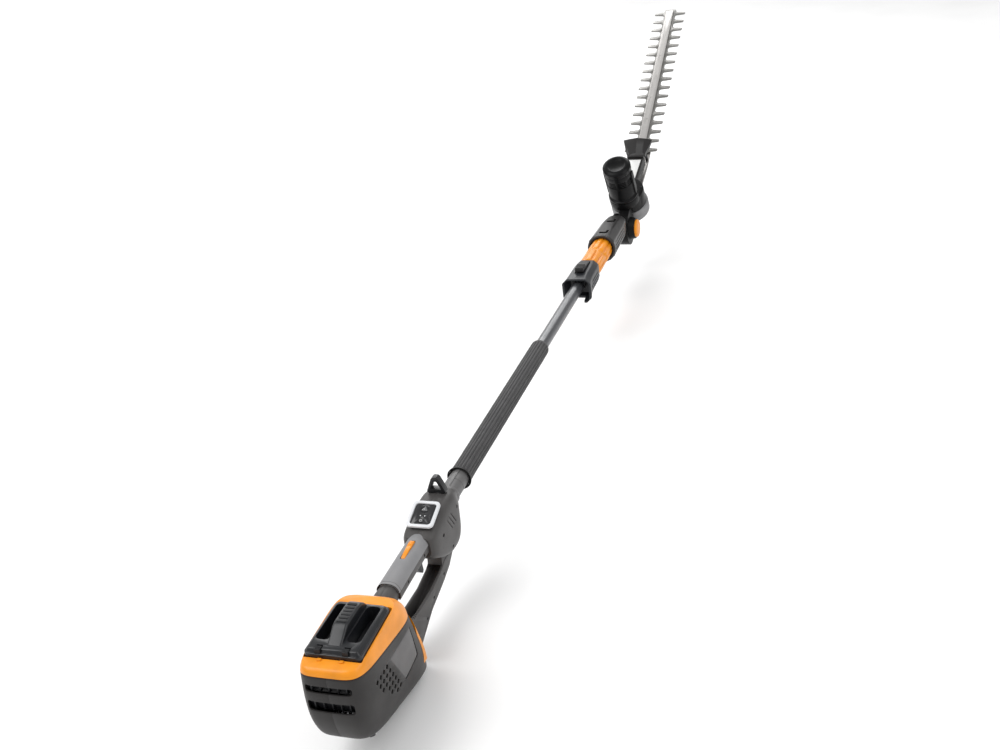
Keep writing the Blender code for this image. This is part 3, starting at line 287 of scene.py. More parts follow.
dress_frame()


# Mesh helpers -----------------------------------------------------------------------------


def made_mesh(bm):
    mesh = bpy.data.meshes.new("part")
    bm.to_mesh(mesh)
    bm.free()
    return mesh


def closed_mesh(bm):
    bmesh.ops.recalc_face_normals(bm, faces=bm.faces)
    return made_mesh(bm)


def temporary(mesh):
    obj = bpy.data.objects.new(mesh.name, mesh)
    bpy.context.scene.collection.objects.link(obj)
    return obj


def with_modifiers(mesh, *settings):
    """The mesh after these modifiers; each is (type, {setting: value})."""
    obj = temporary(mesh)
    for kind, values in settings:
        modifier = obj.modifiers.new(kind.lower(), kind)
        for name, value in values.items():
            setattr(modifier, name, value)
    bpy.context.view_layer.update()
    seen = obj.evaluated_get(bpy.context.evaluated_depsgraph_get())
    made = bpy.data.meshes.new_from_object(seen)
    made.name = mesh.name
    bpy.data.objects.remove(obj)
    return made


def carve(mesh, *cutters, operation="DIFFERENCE"):
    """Cuts closed meshes out of a mesh, or joins or intersects them with it."""
    for cutter in cutters:
        tool = temporary(cutter)
        settings = {"operation": operation, "object": tool, "solver": "EXACT"}
        mesh = with_modifiers(mesh, ("BOOLEAN", settings))
        bpy.data.objects.remove(tool)
    return mesh


def joined(*meshes):
    bm = bmesh.new()
    for mesh in meshes:
        bm.from_mesh(mesh)
    return made_mesh(bm)


def from_node(name):
    """A CAD node's mesh, its split corners merged and its flat faces made whole."""
    bm = bmesh.new()
    bm.from_mesh(nodes[name].data)
    bmesh.ops.remove_doubles(bm, verts=bm.verts, dist=0.00001)
    flat = math.radians(0.8)
    bmesh.ops.dissolve_limit(bm, angle_limit=flat, verts=bm.verts, edges=bm.edges, delimit=set())
    return made_mesh(bm)


def eased(mesh, width, segments=3, angle=32):
    """Rounds the edges sharper than angle, in degrees."""
    limit = {"limit_method": "ANGLE", "angle_limit": math.radians(angle)}
    shape = {"width": width, "segments": segments, "miter_outer": "MITER_ARC"}
    return with_modifiers(mesh, ("BEVEL", {**limit, **shape, "use_clamp_overlap": True}))


def piece(mesh, name, body, look, *stands_for):
    """A finished piece that rides on a body. Its look is a slot, or a slot and a finish."""
    slot, material = (look, FINISHES[look]) if isinstance(look, str) else look
    mesh.name = name
    mesh.materials.clear()
    mesh.materials.append(material)
    mesh.shade_smooth()
    mesh.set_sharp_from_angle(angle=SMOOTH_ANGLE)
    obj = bpy.data.objects.new(name, mesh)
    bpy.context.scene.collection.objects.link(obj)
    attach(obj, body)
    if stands_for:
        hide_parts(*stands_for)
    return obj


def rings_mesh(rings, closed=False):
    """A skin over rings of equal counts; closed joins the last ring to the first."""
    bm = bmesh.new()
    rows = [[bm.verts.new(p) for p in ring] for ring in rings]
    pairs = list(zip(rows, rows[1:]))
    if closed:
        pairs.append((rows[-1], rows[0]))
    for low, high in pairs:
        count = len(low)
        for i in range(count):
            j = (i + 1) % count
            bm.faces.new((low[i], low[j], high[j], high[i]))
    if not closed:
        bm.faces.new(list(reversed(rows[0])))
        bm.faces.new(rows[-1])
    return closed_mesh(bm)


# Turns the Z axis to each axis.
FACING = {
    "X": Matrix.Rotation(math.pi / 2, 4, "Y"),
    "Y": Matrix.Rotation(-math.pi / 2, 4, "X"),
    "Z": Matrix.Identity(4),
}


def around(sides):
    return [2 * math.pi * i / sides for i in range(sides)]


def turned(profile, axis="Y", at=(0, 0, 0), sides=64):
    """A turned solid. The profile is (along, radius); it ends at radius 0 or closes on itself."""
    place = Matrix.Translation(at) @ FACING[axis]
    bm = bmesh.new()
    rows = []
    for along, radius in profile:
        if radius <= 0:
            rows.append([bm.verts.new(place @ Vector((0, 0, along)))])
            continue
        row = [(radius * math.cos(a), radius * math.sin(a), along) for a in around(sides)]
        rows.append([bm.verts.new(place @ Vector(p)) for p in row])
    pairs = list(zip(rows, rows[1:]))
    if profile[0][1] > 0 and profile[-1][1] > 0:
        pairs.append((rows[-1], rows[0]))
    for low, high in pairs:
        for i in range(sides):
            j = (i + 1) % sides
            if len(low) == 1 and len(high) == 1:
                break
            if len(low) == 1:
                bm.faces.new((low[0], high[j], high[i]))
            elif len(high) == 1:
                bm.faces.new((low[i], low[j], high[0]))
            else:
                bm.faces.new((low[i], low[j], high[j], high[i]))
    return closed_mesh(bm)


def rod(start, end, radius, axis="Y", at=(0, 0, 0), sides=64):
    return turned([(start, 0), (start, radius), (end, radius), (end, 0)], axis, at, sides)


def slab(outline, low, high, axis="Z", place=Matrix.Identity(4)):
    """An outline raised from low to high: (y, z) for X slabs, (x, z) for Y, (x, y) for Z."""

    def at(a, b, c):
        return place @ Vector({"X": (c, a, b), "Y": (a, c, b), "Z": (a, b, c)}[axis])

    return rings_mesh([[at(a, b, c) for a, b in outline] for c in (low, high)])


def rounded(half_a, half_b, radius, centre=(0.0, 0.0), steps=6):
    """A rectangle with round corners."""
    points = []
    for quarter, (sa, sb) in enumerate(((1, 1), (-1, 1), (-1, -1), (1, -1))):
        corner_a = centre[0] + sa * (half_a - radius)
        corner_b = centre[1] + sb * (half_b - radius)
        for i in range(steps + 1):
            a = math.pi / 2 * (quarter + i / steps)
            points.append((corner_a + radius * math.cos(a), corner_b + radius * math.sin(a)))
    return points


def disc(radius, centre=(0.0, 0.0), count=40):
    return [
        (centre[0] + radius * math.cos(a), centre[1] + radius * math.sin(a)) for a in around(count)
    ]


def superellipse(half_a, half_b, power, count, middle=(0.0, 0.0)):
    points = []
    for a in around(count):
        c, s = math.cos(a), math.sin(a)
        along_a = math.copysign(abs(c) ** (2 / power), c) * half_a
        along_b = math.copysign(abs(s) ** (2 / power), s) * half_b
        points.append((middle[0] + along_a, middle[1] + along_b))
    return points


def block(low, high):
    outline = [(low[0], low[1]), (high[0], low[1]), (high[0], high[1]), (low[0], high[1])]
    return slab(outline, low[2], high[2])


def tube_along(points, radius, sides):
    """A round bar along a line of points."""
    path = [Vector(p) for p in points]
    rings = []
    side = None
    for i, p in enumerate(path):
        ahead = path[min(i + 1, len(path) - 1)] - path[max(i - 1, 0)]
        ahead.normalize()
        side = side or ahead.orthogonal()
        side = (side - ahead * side.dot(ahead)).normalized()
        up = ahead.cross(side)
        circle = [(radius * math.cos(a), radius * math.sin(a)) for a in around(sides)]
        rings.append([p + side * c + up * s for c, s in circle])
    return rings_mesh(rings)


def smooth_through(points, steps):
    """Points on a smooth line through these vectors or arrays."""
    made = []
    last = len(points) - 1
    for i in range(last):
        a, b, c, d = (points[min(max(k, 0), last)] for k in (i - 1, i, i + 1, i + 2))
        for k in range(steps):
            t = k / steps
            bent = 2 * b + (c - a) * t + (2 * a - 5 * b + 4 * c - d) * t * t
            made.append(0.5 * (bent + (3 * b - a - 3 * c + d) * t ** 3))
    made.append(points[-1])
    return made


def screw(name, body, at, towards, radius, depth=0.0016):
    """A sunk hex-socket screw head, its face at the given point, facing towards."""
    edge = radius - 0.0004
    profile = [(-depth, 0), (-depth, radius), (-0.0004, radius), (0, edge), (0, 0)]
    socket = slab(disc(radius * 0.52, count=6), -depth * 0.7, 0.002)
    head = carve(turned(profile, "Z", sides=28), socket)
    turn = Vector(towards).to_track_quat("Z", "Y").to_matrix().to_4x4()
    head.transform(Matrix.Translation(at) @ turn)
    return piece(head, name, body, "black_steel")


def side_screws(name, side, label, x, spots, radius):
    """A row of screws in one side of the handle body, at these (y, z)."""
    for index, (y, z) in enumerate(spots):
        at = (side * x, y, z)
        screw("%s_%s_%d" % (name, label, index), "handle_body", at, (side, 0, 0), radius)


def side_holes(side, start, end, spots, radius, count):
    return [slab(disc(radius, spot, count), side * start, side * end, "X") for spot in spots]


# Rear housing -----------------------------------------------------------------------------

# Rear y, front y, half width, z at the rear and z at the front of each level.
HOUSING_LEVELS = np.array(
    [
        (-0.277, -0.09, 0.05, 0.019, -0.01),
        (-0.281, -0.078, 0.0505, -0.02, -0.045),
        (-0.281, -0.062, 0.049, -0.055, -0.09),
        (-0.272, -0.052, 0.045, -0.085, -0.125),
        (-0.258, -0.047, 0.039, -0.098, -0.142),
        (-0.24, -0.06, 0.027, -0.103, -0.147),
    ]
)
SHELL_POWER = 5.0
SHELL_WALL = 0.0025
SHELL_POINTS = 112


def level_ring(level, grow=0.0, lift=0.0):
    rear, front, half, z_rear, z_front = level
    middle = (rear + front) / 2
    reach = (front - rear) / 2 + grow
    ring = []
    for x, y in superellipse(half + grow, reach, SHELL_POWER, SHELL_POINTS):
        share = (y + middle - rear) / (front - rear)
        ring.append((x, y + middle, z_rear + (z_front - z_rear) * share + lift))
    return ring


def housing_half_width(y, z):
    """Half width of the outer shell at a place on its side."""
    low, high = 0.0, len(HOUSING_LEVELS) - 1.0

    def level(s):
        i = min(int(s), len(HOUSING_LEVELS) - 2)
        return HOUSING_LEVELS[i] + (HOUSING_LEVELS[i + 1] - HOUSING_LEVELS[i]) * (s - i)

    for _ in range(30):
        s = (low + high) / 2
        rear, front, half, z_rear, z_front = level(s)
        here = z_rear + (z_front - z_rear) * (y - rear) / (front - rear)
        low, high = (s, high) if here > z else (low, s)
    rear, front, half, _, _ = level(low)
    t = min(1.0, abs((y - (rear + front) / 2) / ((front - rear) / 2)))
    return half * (1 - t ** SHELL_POWER) ** (1 / SHELL_POWER)


def side_patch(corners, inner, outer, side):
    """A plate that follows the shell's side between four (y, z) corners."""
    across, down = 26, 14
    sheets = []
    for offset in (inner, outer):
        rows = []
        for j in range(down + 1):
            v = j / down
            row = []
            for i in range(across + 1):
                u = i / across
                near, far, far_below, near_below = (
                    np.array(corner) * share
                    for corner, share in zip(corners, (1 - u, u, u, 1 - u))
                )
                y, z = (1 - v) * (near + far) + v * (near_below + far_below)
                row.append((side * (housing_half_width(y, z) + offset), y, z))
            rows.append(row)
        sheets.append(rows)
    bm = bmesh.new()
    made = [[[bm.verts.new(p) for p in row] for row in rows] for rows in sheets]
    for rows in made:
        for j in range(down):
            for i in range(across):
                bm.faces.new((rows[j][i], rows[j][i + 1], rows[j + 1][i + 1], rows[j + 1][i]))
    edge = [(0, i) for i in range(across)] + [(j, across) for j in range(down)]
    edge += [(down, i) for i in range(across, 0, -1)] + [(j, 0) for j in range(down, 0, -1)]
    for k, (j, i) in enumerate(edge):
        jn, in_ = edge[(k + 1) % len(edge)]
        bm.faces.new((made[0][j][i], made[1][j][i], made[1][jn][in_], made[0][jn][in_]))
    return closed_mesh(bm)


# Corners of the smooth side panel, (y, z).
PANEL = [(-0.189, -0.015), (-0.113, -0.019), (-0.104, -0.076), (-0.153, -0.081)]
# Diamond holes: the first, the step to the next row and to the next hole, half sizes.
VENT_START = (-0.2009, -0.0181)
VENT_DOWN = (0.006, -0.0114)
VENT_BACK = -0.011
VENT_ROWS = (4, 4, 4, 3, 3, 2)
VENT_HALF_Y = 0.004
VENT_HALF_Z = 0.0042
VENT_LINER = [(-0.255, -0.01), (-0.145, -0.01), (-0.13, -0.088), (-0.2, -0.088)]
# Middle height and half height of each rear slot.
REAR_SLOTS = ((-0.001, 0.0056), (-0.0285, 0.0082))


def vent_cutters(side):
    """Rows of diamond holes behind the side panel."""
    cutters = []
    for row, count in enumerate(VENT_ROWS):
        for i in range(count):
            y = VENT_START[0] + VENT_DOWN[0] * row + VENT_BACK * i
            z = VENT_START[1] + VENT_DOWN[1] * row
            ends = [(y + VENT_HALF_Y, z), (y, z + VENT_HALF_Z)]
            ends += [(y - VENT_HALF_Y, z), (y, z - VENT_HALF_Z)]
            cutters.append(slab(ends, side * 0.038, side * 0.06, "X"))
    return joined(*cutters)


def rear_shell():
    levels = smooth_through(HOUSING_LEVELS, 5)
    # The bottom turns in with a soft edge.
    outer = eased(rings_mesh([level_ring(level) for level in levels]), 0.003, 3, 50)
    inner_levels = [levels[0] + np.array((0, 0, 0, 0.012, 0.012))] + levels[1:-1]
    inner = [level_ring(level, -SHELL_WALL) for level in inner_levels]
    inner.append(level_ring(levels[-1], -SHELL_WALL, 0.004))
    shell = carve(outer, rings_mesh(inner))
    slots = [rounded(0.0345, half, 0.0045, (0.0, z)) for z, half in REAR_SLOTS]
    slots = [slab(outline, -0.3, -0.27, "Y") for outline in slots]
    foot = rod(-0.125, -0.08, 0.0052, "Z", (0, -0.2, 0), 32)
    passage = block((-0.0215, -0.1, -0.03), (0.0215, -0.06, 0.022))
    shell = carve(shell, joined(*slots), foot, passage)
    for side, _ in SIDES:
        seat = side_patch(PANEL, -0.0009, 0.004, side)
        shell = carve(shell, seat, vent_cutters(side))
    for side, label in SIDES:
        low, high = sorted((side * HALF_GAP, -side * 0.1))
        other_half = block((low, -0.4, -0.3), (high, 0.1, 0.1))
        half = eased(carve(shell.copy(), other_half), 0.0006, 2, 50)
        name = "rear_housing_" + label
        piece(half, name + "_shell", "handle_body", "dark_plastic", name)
        smaller = [(y * 0.985 - 0.0023, z * 0.97 - 0.0013) for y, z in PANEL]
        inlay = eased(side_patch(smaller, -0.002, -0.0003, side), 0.0003, 2, 50)
        piece(inlay, "side_panel_" + label, "handle_body", PANEL_LOOK)
        liner = slab(VENT_LINER, side * 0.0431, side * 0.0438, "X")
        piece(liner, "vent_screen_" + label, "handle_body", "black_plastic")


def slot_liners():
    """Black louvred backs of the two rear slots."""
    for index, (z, half) in enumerate(REAR_SLOTS):
        back = slab(rounded(0.0385, half + 0.003, 0.006, (0.0, z)), -0.2712, -0.2692, "Y")
        name = "rear_slot_back_%d" % index
        piece(eased(back, 0.0004, 2), name, "handle_body", "black_plastic")
        for k in range(5):
            x = -0.026 + 0.013 * k
            rib = slab(rounded(0.0009, half + 0.001, 0.0004, (x, z)), -0.275, -0.2708, "Y")
            piece(rib, "rear_slot_rib_%d_%d" % (index, k), "handle_body", "black_plastic")


BEZEL_LEVELS = [
    (-0.2752, -0.0905, 0.0492, 0.0245, -0.002), (-0.2715, -0.094, 0.048, 0.0283, 0.008),
    (-0.266, -0.106, 0.0468, 0.0296, 0.024), (-0.261, -0.12, 0.0458, 0.03, 0.0345),
]
PANEL_LOOK = (
    "shaft_housing_plastic",
    moulded("side_panel_look", (0.066, 0.063, 0.064), 0.33, grain=0.18, gloss=0.2),
)


def bezel():
    """Orange ring round the battery, from the top level of the shells to its rim."""
    base = HOUSING_LEVELS[0]
    levels = [base, *np.array(BEZEL_LEVELS)]
    rings = [level_ring(base, 0.0, 0.0003)]
    rings += [level_ring(level) for level in smooth_through(levels, 4)[1:]]
    ring = rings_mesh(rings)
    well = slab(rounded(0.0433, 0.0568, 0.004, (0.0, -0.196)), -0.03, 0.08)
    deeper = (-0.268, -0.097, 0.0455, 0.0235, 0.0)
    under = rings_mesh([level_ring(base, -SHELL_WALL, -0.01), level_ring(deeper, -0.001)])
    grip = rod(-0.13, -0.06, 0.0205, at=(0, 0, -0.003))
    ring = carve(ring, well, under, grip)
    ring = eased(ring, 0.0009, 3, 38)
    piece(ring, "battery_bezel_ring", "handle_body", "orange_plastic", "battery_bezel")


def apron():
    """Orange plate over the housing's front."""
    levels = smooth_through(HOUSING_LEVELS[:-1], 4)
    outer = rings_mesh([level_ring(level, 0.0024) for level in levels])
    lifts = [0.02] + [0.0] * (len(levels) - 2) + [-0.02]
    inner = rings_mesh([level_ring(level, 0.0003, lift) for level, lift in zip(levels, lifts)])
    keep = slab(rounded(0.0445, 0.053, 0.01, (0.0, -0.066)), -0.088, -0.03, "Y")
    plate = carve(carve(outer, inner), keep, operation="INTERSECT")
    gap = slab(rounded(0.0225, 0.04, 0.006, (0.0, 0.01)), -0.1, -0.02, "Y")
    plate = eased(carve(plate, gap), 0.0007, 3, 40)
    piece(plate, "front_apron_plate", "handle_body", "orange_plastic", "front_apron")


def bezel_tabs():
    """Two catches that stand up from the ring behind the battery."""
    for index, x in enumerate((-0.0165, 0.0165)):
        tab = slab(rounded(0.0028, 0.0022, 0.0008, (x, -0.2561)), 0.027, 0.0325)
        piece(eased(tab, 0.0006, 2), "bezel_tab_%d" % index, "handle_body", "orange_plastic")


def corner_bumpers():
    """Small black rubber studs under the rear corners of the housing."""
    profile = [(-0.004, 0), (-0.004, 0.0048), (0.0052, 0.0046), (0.0066, 0.0034), (0.0066, 0)]
    for side, label in SIDES:
        x = side * 0.03
        stud = turned(profile, "Z", sides=28)
        out = Vector((x * 0.9, -0.03, -0.05)).to_track_quat("Z", "Y").to_matrix().to_4x4()
        stud.transform(Matrix.Translation((x, -0.244, -0.0985)) @ out)
        name = "corner_bumper_" + label
        piece(eased(stud, 0.0006, 2), name, "handle_body", BUMPER_LOOK)


BUMPER_LOOK = ("black_plastic", rubber("bumper_rubber_look", (0.014, 0.014, 0.015), 0.62))

rear_shell()
slot_liners()
bezel_tabs()
corner_bumpers()
bezel()
apron()


# Battery ----------------------------------------------------------------------------------

BATTERY_MIDDLE = -0.196
BATTERY_HALF = 0.0425
BATTERY_REACH = 0.056
RIM_HEIGHT = 0.0365
DECK_HEIGHT = 0.0415
HANDLE_HEIGHT = 0.0575
HANDLE_LEFT = -0.0118
HANDLE_RIGHT = 0.0098
WELL_RIGHT = 0.0222
LATCH_PADS_X = (-0.0205, 0.0205)


def battery_outline(shrink, z, steps=8):
    """Rounded plan of the battery, its rear corners tighter than its front ones."""
    half, reach = BATTERY_HALF - shrink, BATTERY_REACH - shrink
    points = []
    for quarter, (sx, sy) in enumerate(((1, 1), (-1, 1), (-1, -1), (1, -1))):
        radius = max(0.001, (0.0115 if sy > 0 else 0.008) - shrink)
        x, y = sx * (half - radius), BATTERY_MIDDLE + sy * (reach - radius)
        for i in range(steps + 1):
            a = math.pi / 2 * (quarter + i / steps)
            points.append((x + radius * math.cos(a), y + radius * math.sin(a), z))
    return points


def battery_top():
    stations = [
        (0.0006, 0.0126), (0.0, 0.014), (0.0, 0.0345), (0.0004, RIM_HEIGHT - 0.0006),
        (0.0012, RIM_HEIGHT), (0.0026, RIM_HEIGHT), (0.0032, RIM_HEIGHT + 0.0006),
        (0.005, DECK_HEIGHT - 0.0008), (0.0064, DECK_HEIGHT),
    ]
    top = rings_mesh([battery_outline(shrink, z) for shrink, z in stations])
    # Arched carrying handle, its side view raised across the deck.
    side = [(-0.24, 0.03), (-0.24, DECK_HEIGHT - 0.001)]
    arch = [
        (-0.236, DECK_HEIGHT + 0.0006), (-0.224, DECK_HEIGHT + 0.0075),
        (-0.211, HANDLE_HEIGHT - 0.001), (-0.198, HANDLE_HEIGHT), (-0.18, HANDLE_HEIGHT),
        (-0.164, HANDLE_HEIGHT - 0.0012), (-0.153, HANDLE_HEIGHT - 0.008), (-0.147, DECK_HEIGHT),
    ]
    side += [tuple(p) for p in smooth_through([Vector(p) for p in arch], 5)]
    side += [(-0.146, 0.03)]
    handle = eased(slab(side, HANDLE_LEFT, HANDLE_RIGHT, "X"), 0.003, 4, 50)
    top = carve(top, handle, operation="UNION")
    # The handle stands between the wells, so the wells stop at its sides.
    wells = [rounded(0.0106, 0.0385, 0.007, (x, -0.189)) for x in (-0.0242, WELL_RIGHT)]
    top = carve(top, joined(*[slab(well, 0.018, 0.08) for well in wells]))
    seats = [rounded(0.005, 0.0064, 0.001, (x, -0.2448)) for x in LATCH_PADS_X]
    top = carve(top, joined(*[slab(seat, 0.0275, 0.08) for seat in seats]))
    top = carve(top, block((-0.018, -0.2465, 0.0275), (0.018, -0.24, 0.0302)))
    top = eased(top, 0.0008, 3, 40)
    piece(top, "battery_top_cover", "battery", BATTERY_LOOK, "battery_cover")


def battery_details():
    # Raised grip pads along the handle.
    for index in range(6):
        outline = rounded(0.007, 0.0022, 0.0009, (-0.001, -0.2055 + 0.0074 * index))
        pad = eased(slab(outline, HANDLE_HEIGHT - 0.0012, HANDLE_HEIGHT + 0.0007), 0.0004, 2)
        piece(pad, "handle_pad_%d" % index, "battery", BATTERY_PAD_LOOK)
    # A plain rating plate and four charge lamps in the right well, without lettering.
    plate = slab(rounded(0.0052, 0.018, 0.0012, (WELL_RIGHT, -0.199)), 0.0174, 0.0187)
    plate = eased(plate, 0.0003, 2)
    piece(plate, "battery_rating_plate", "battery", RATING_LOOK)
    profile = [(0.0172, 0), (0.0172, 0.0012), (0.0184, 0.0011), (0.0188, 0)]
    for index in range(4):
        lamp = turned(profile, "Z", (WELL_RIGHT, -0.174 + 0.005 * index, 0), 16)
        piece(lamp, "charge_lamp_%d" % index, "battery", LAMP_LOOK)


def latch_pads():
    """Two ribbed press pads that release the battery together, joined under the deck."""
    parts = []
    for x in LATCH_PADS_X:
        outline = rounded(0.0043, 0.0042, 0.0008, (x, -0.2463))
        pad = eased(slab(outline, 0.0276, DECK_HEIGHT + 0.0012), 0.0005, 2)
        grooves = []
        for k in range(3):
            low = (x - 0.006, -0.2492 + 0.0022 * k, DECK_HEIGHT + 0.0004)
            grooves.append(block(low, (x + 0.006, -0.2482 + 0.0022 * k, 0.06)))
        parts.append(carve(pad, joined(*grooves)))
    bar = block((-0.0163, -0.2452, 0.0281), (0.0163, -0.2438, 0.0296))
    pads, body = joined(*parts, bar), "battery_latch"
    piece(pads, "battery_latch_pads", body, BATTERY_PAD_LOOK, body)


BATTERY_LOOK = (
    "black_plastic",
    moulded("battery_black_look", (0.008, 0.0088, 0.011), 0.32, grain=0.25, wear=0.07, gloss=0.25),
)
BATTERY_PAD_LOOK = (
    "black_plastic",
    moulded("battery_pad_look", (0.0105, 0.011, 0.0125), 0.5, grain=0.5, wear=0.12),
)
RATING_LOOK = (
    "label_film",
    moulded("rating_plate_look", (0.4, 0.4, 0.41), 0.35, grain=0.1, wear=0.3),
)
LAMP_LOOK = (
    "label_film",
    moulded("charge_lamp_look", (0.55, 0.6, 0.56), 0.2, grain=0.1, wear=0.05, gloss=0.4),
)

battery_top()
battery_details()
latch_pads()


# Control block, grip and guard ------------------------------------------------------------


def y_rings(sections, power, grow=0.0, count=72):
    rings = []
    for y, half, low, high in sections:
        middle, reach = (low + high) / 2, (high - low) / 2 + grow
        outline = superellipse(half + grow, reach, power, count, (0.0, middle))
        rings.append([(x, y, z) for x, z in outline])
    return rings


# Station, half width, lowest and highest point.
BLOCK_SECTIONS = [
    (0.054, 0.0205, -0.0225, 0.0132), (0.059, 0.025, -0.028, 0.015),
    (0.068, 0.0278, -0.0345, 0.018), (0.082, 0.029, -0.043, 0.0224), (0.1, 0.0296, -0.0535, 0.0266),
    (0.122, 0.0299, -0.062, 0.0308), (0.148, 0.03, -0.063, 0.0318), (0.162, 0.0282, -0.054, 0.0302),
    (0.174, 0.0238, -0.039, 0.0262), (0.185, 0.0196, -0.024, 0.021),
]
GROOVES = [(y, 0.015) for y in (0.106, 0.115, 0.124)]
BLOCK_SCREWS = ((0.09, -0.004), (0.156, 0.006), (0.118, -0.044))

DISPLAY_AT = Vector((0.0, 0.0925, 0.0285))
# Name, place along the display and radius of each button.
BUTTONS = (("power", -0.0128, 0.0042), ("speed", 0.01, 0.0062))
DISPLAY_TURN = Matrix.Translation(DISPLAY_AT) @ Matrix.Rotation(math.radians(17.0), 4, "X")


def control_block():
    """Two ribbed half shells, with seats for the display and the harness loop."""
    stations = smooth_through(np.array(BLOCK_SECTIONS), 4)
    outer = eased(rings_mesh(y_rings(stations, 4.2)), 0.0016, 3, 50)
    inner = [stations[0] + np.array((0.0025, 0, 0, 0)), *stations[1:-1]]
    inner.append(stations[-1] + np.array((0.01, 0, 0, 0)))
    shell = carve(outer, rings_mesh(y_rings(inner, 4.2, -0.0024)))
    seat = slab(rounded(0.019, 0.023, 0.004), -0.02, 0.03, place=DISPLAY_TURN)
    loop_slots = [rounded(0.0031, 0.0062, 0.001, (x, 0.157)) for x in (-0.0098, 0.0098)]
    shell = carve(shell, seat, joined(*[slab(slot, 0.015, 0.05) for slot in loop_slots]))
    for side, label in SIDES:
        low, high = sorted((side * HALF_GAP, side * 0.1))
        half_space = block((low, -0.4, -0.3), (high, 0.4, 0.3))
        half = carve(shell.copy(), half_space, operation="INTERSECT")
        cuts = []
        for y, z in GROOVES:
            groove = [(y, z), (y + 0.0016, z + 0.001)]
            groove += [(y + 0.019, z - 0.027), (y + 0.0174, z - 0.028)]
            cuts.append(slab(groove, side * 0.0288, side * 0.033, "X"))
        cuts += side_holes(side, 0.0268, 0.04, BLOCK_SCREWS, 0.0031, 28)
        half = eased(carve(half, joined(*cuts)), 0.0005, 2, 45)
        name = "control_block_" + label
        piece(half, name + "_shell", "handle_body", BLOCK_LOOK, name)
        side_screws("block_screw", side, label, 0.0276, BLOCK_SCREWS, 0.0029)


def display_slab(outline, low, high):
    return slab(outline, low, high, place=DISPLAY_TURN)


def display():
    """Silver frame, black panel, two round buttons with plain signs and two lamps."""
    ring = display_slab(rounded(0.0225, 0.0258, 0.0078, steps=10), 0.0004, 0.0052)
    window = display_slab(rounded(0.0172, 0.0205, 0.005, steps=10), -0.01, 0.02)
    ring = eased(carve(ring, window), 0.0013, 4, 40)
    piece(ring, "display_frame", "handle_body", "silver_plastic", "display_bezel")
    panel = display_slab(rounded(0.0169, 0.0202, 0.0047, steps=10), -0.002, 0.0034)
    holes = [display_slab(disc(r + 0.0004, (0.0, y)), -0.02, 0.02) for _, y, r in BUTTONS]
    panel = eased(carve(panel, joined(*holes)), 0.0005, 2, 40)
    piece(panel, "display_glass", "handle_body", GLASS_LOOK, "display_panel")
    for name, y, radius in BUTTONS:
        profile = [(-0.0024, 0), (-0.0024, radius), (0.0034, radius)]
        profile += [(0.0042, radius - 0.0008), (0.0044, 0)]
        cap = turned(profile, "Z", (0, y, 0), 36)
        cap.transform(DISPLAY_TURN)
        body = name + "_button"
        piece(cap, body + "_cap", body, GLASS_LOOK, body)
    # Plain on-off sign, an open ring with a bar, then a triangle over a smaller one.
    arc = [math.radians(90 + 32 + 296 * k / 18) for k in range(19)]
    marks = [
        ("power", [(0.0021 * math.cos(a), -0.0128 + 0.0021 * math.sin(a)) for a in arc]),
        ("power", [(0.0, -0.0128), (0.0, -0.0104)]),
        ("speed", [(-0.004, 0.0072), (0.0, 0.0142), (0.004, 0.0072), (-0.004, 0.0072)]),
        ("speed", [(-0.0014, 0.0088), (0.0, 0.0112), (0.0014, 0.0088), (-0.0014, 0.0088)]),
    ]
    for index, (name, line) in enumerate(marks):
        points = [DISPLAY_TURN @ Vector((x, y, 0.00445)) for x, y in line]
        mark = tube_along(points, 0.0003, 6)
        piece(mark, "%s_sign_%d" % (name, index), name + "_button", SIGN_LOOK)
    profile = [(0.003, 0), (0.003, 0.0011), (0.0037, 0.0009), (0.0039, 0)]
    for index, x in enumerate((-0.0036, 0.0036)):
        lamp = turned(profile, "Z", (x, -0.003, 0), 18)
        lamp.transform(DISPLAY_TURN)
        piece(lamp, "display_lamp_%d" % index, "handle_body", SIGN_LOOK)


def harness_loop():
    """Strap ear on two legs, with a hole that narrows to its top."""
    right = [(0.0068, 0.0335), (0.0068, 0.019), (0.0128, 0.019), (0.0128, 0.032)]
    right += [(0.0158, 0.0338), (0.015, 0.0372), (0.0062, 0.0578), (0.0032, 0.0604)]
    outline = [(-0.0128, 0.019), (-0.0068, 0.019), (-0.0068, 0.0335)]
    outline += right + [(-x, z) for x, z in right[:2:-1]]
    loop = slab(outline, 0.1512, 0.1628, "Y")
    hole = [(-0.0088, 0.0392), (0.0088, 0.0392), (0.0024, 0.0532), (-0.0024, 0.0532)]
    loop = eased(carve(loop, slab(hole, 0.1, 0.2, "Y")), 0.0019, 4, 35)
    piece(loop, "harness_hook", "handle_body", LOOP_LOOK, "harness_loop")


# Station, half width, lowest and highest point.
GRIP_SECTIONS = [
    (-0.066, 0.0157, -0.0187, 0.0131), (-0.03, 0.0152, -0.0185, 0.0134),
    (0.01, 0.015, -0.0186, 0.0134), (0.062, 0.015, -0.0195, 0.013),
]
CORE_SCREWS = ((0.036, -0.0045), (-0.031, -0.0045))


def grip_rings(sections, grow):
    return rings_mesh(y_rings(sections, 2.4, grow, 96))


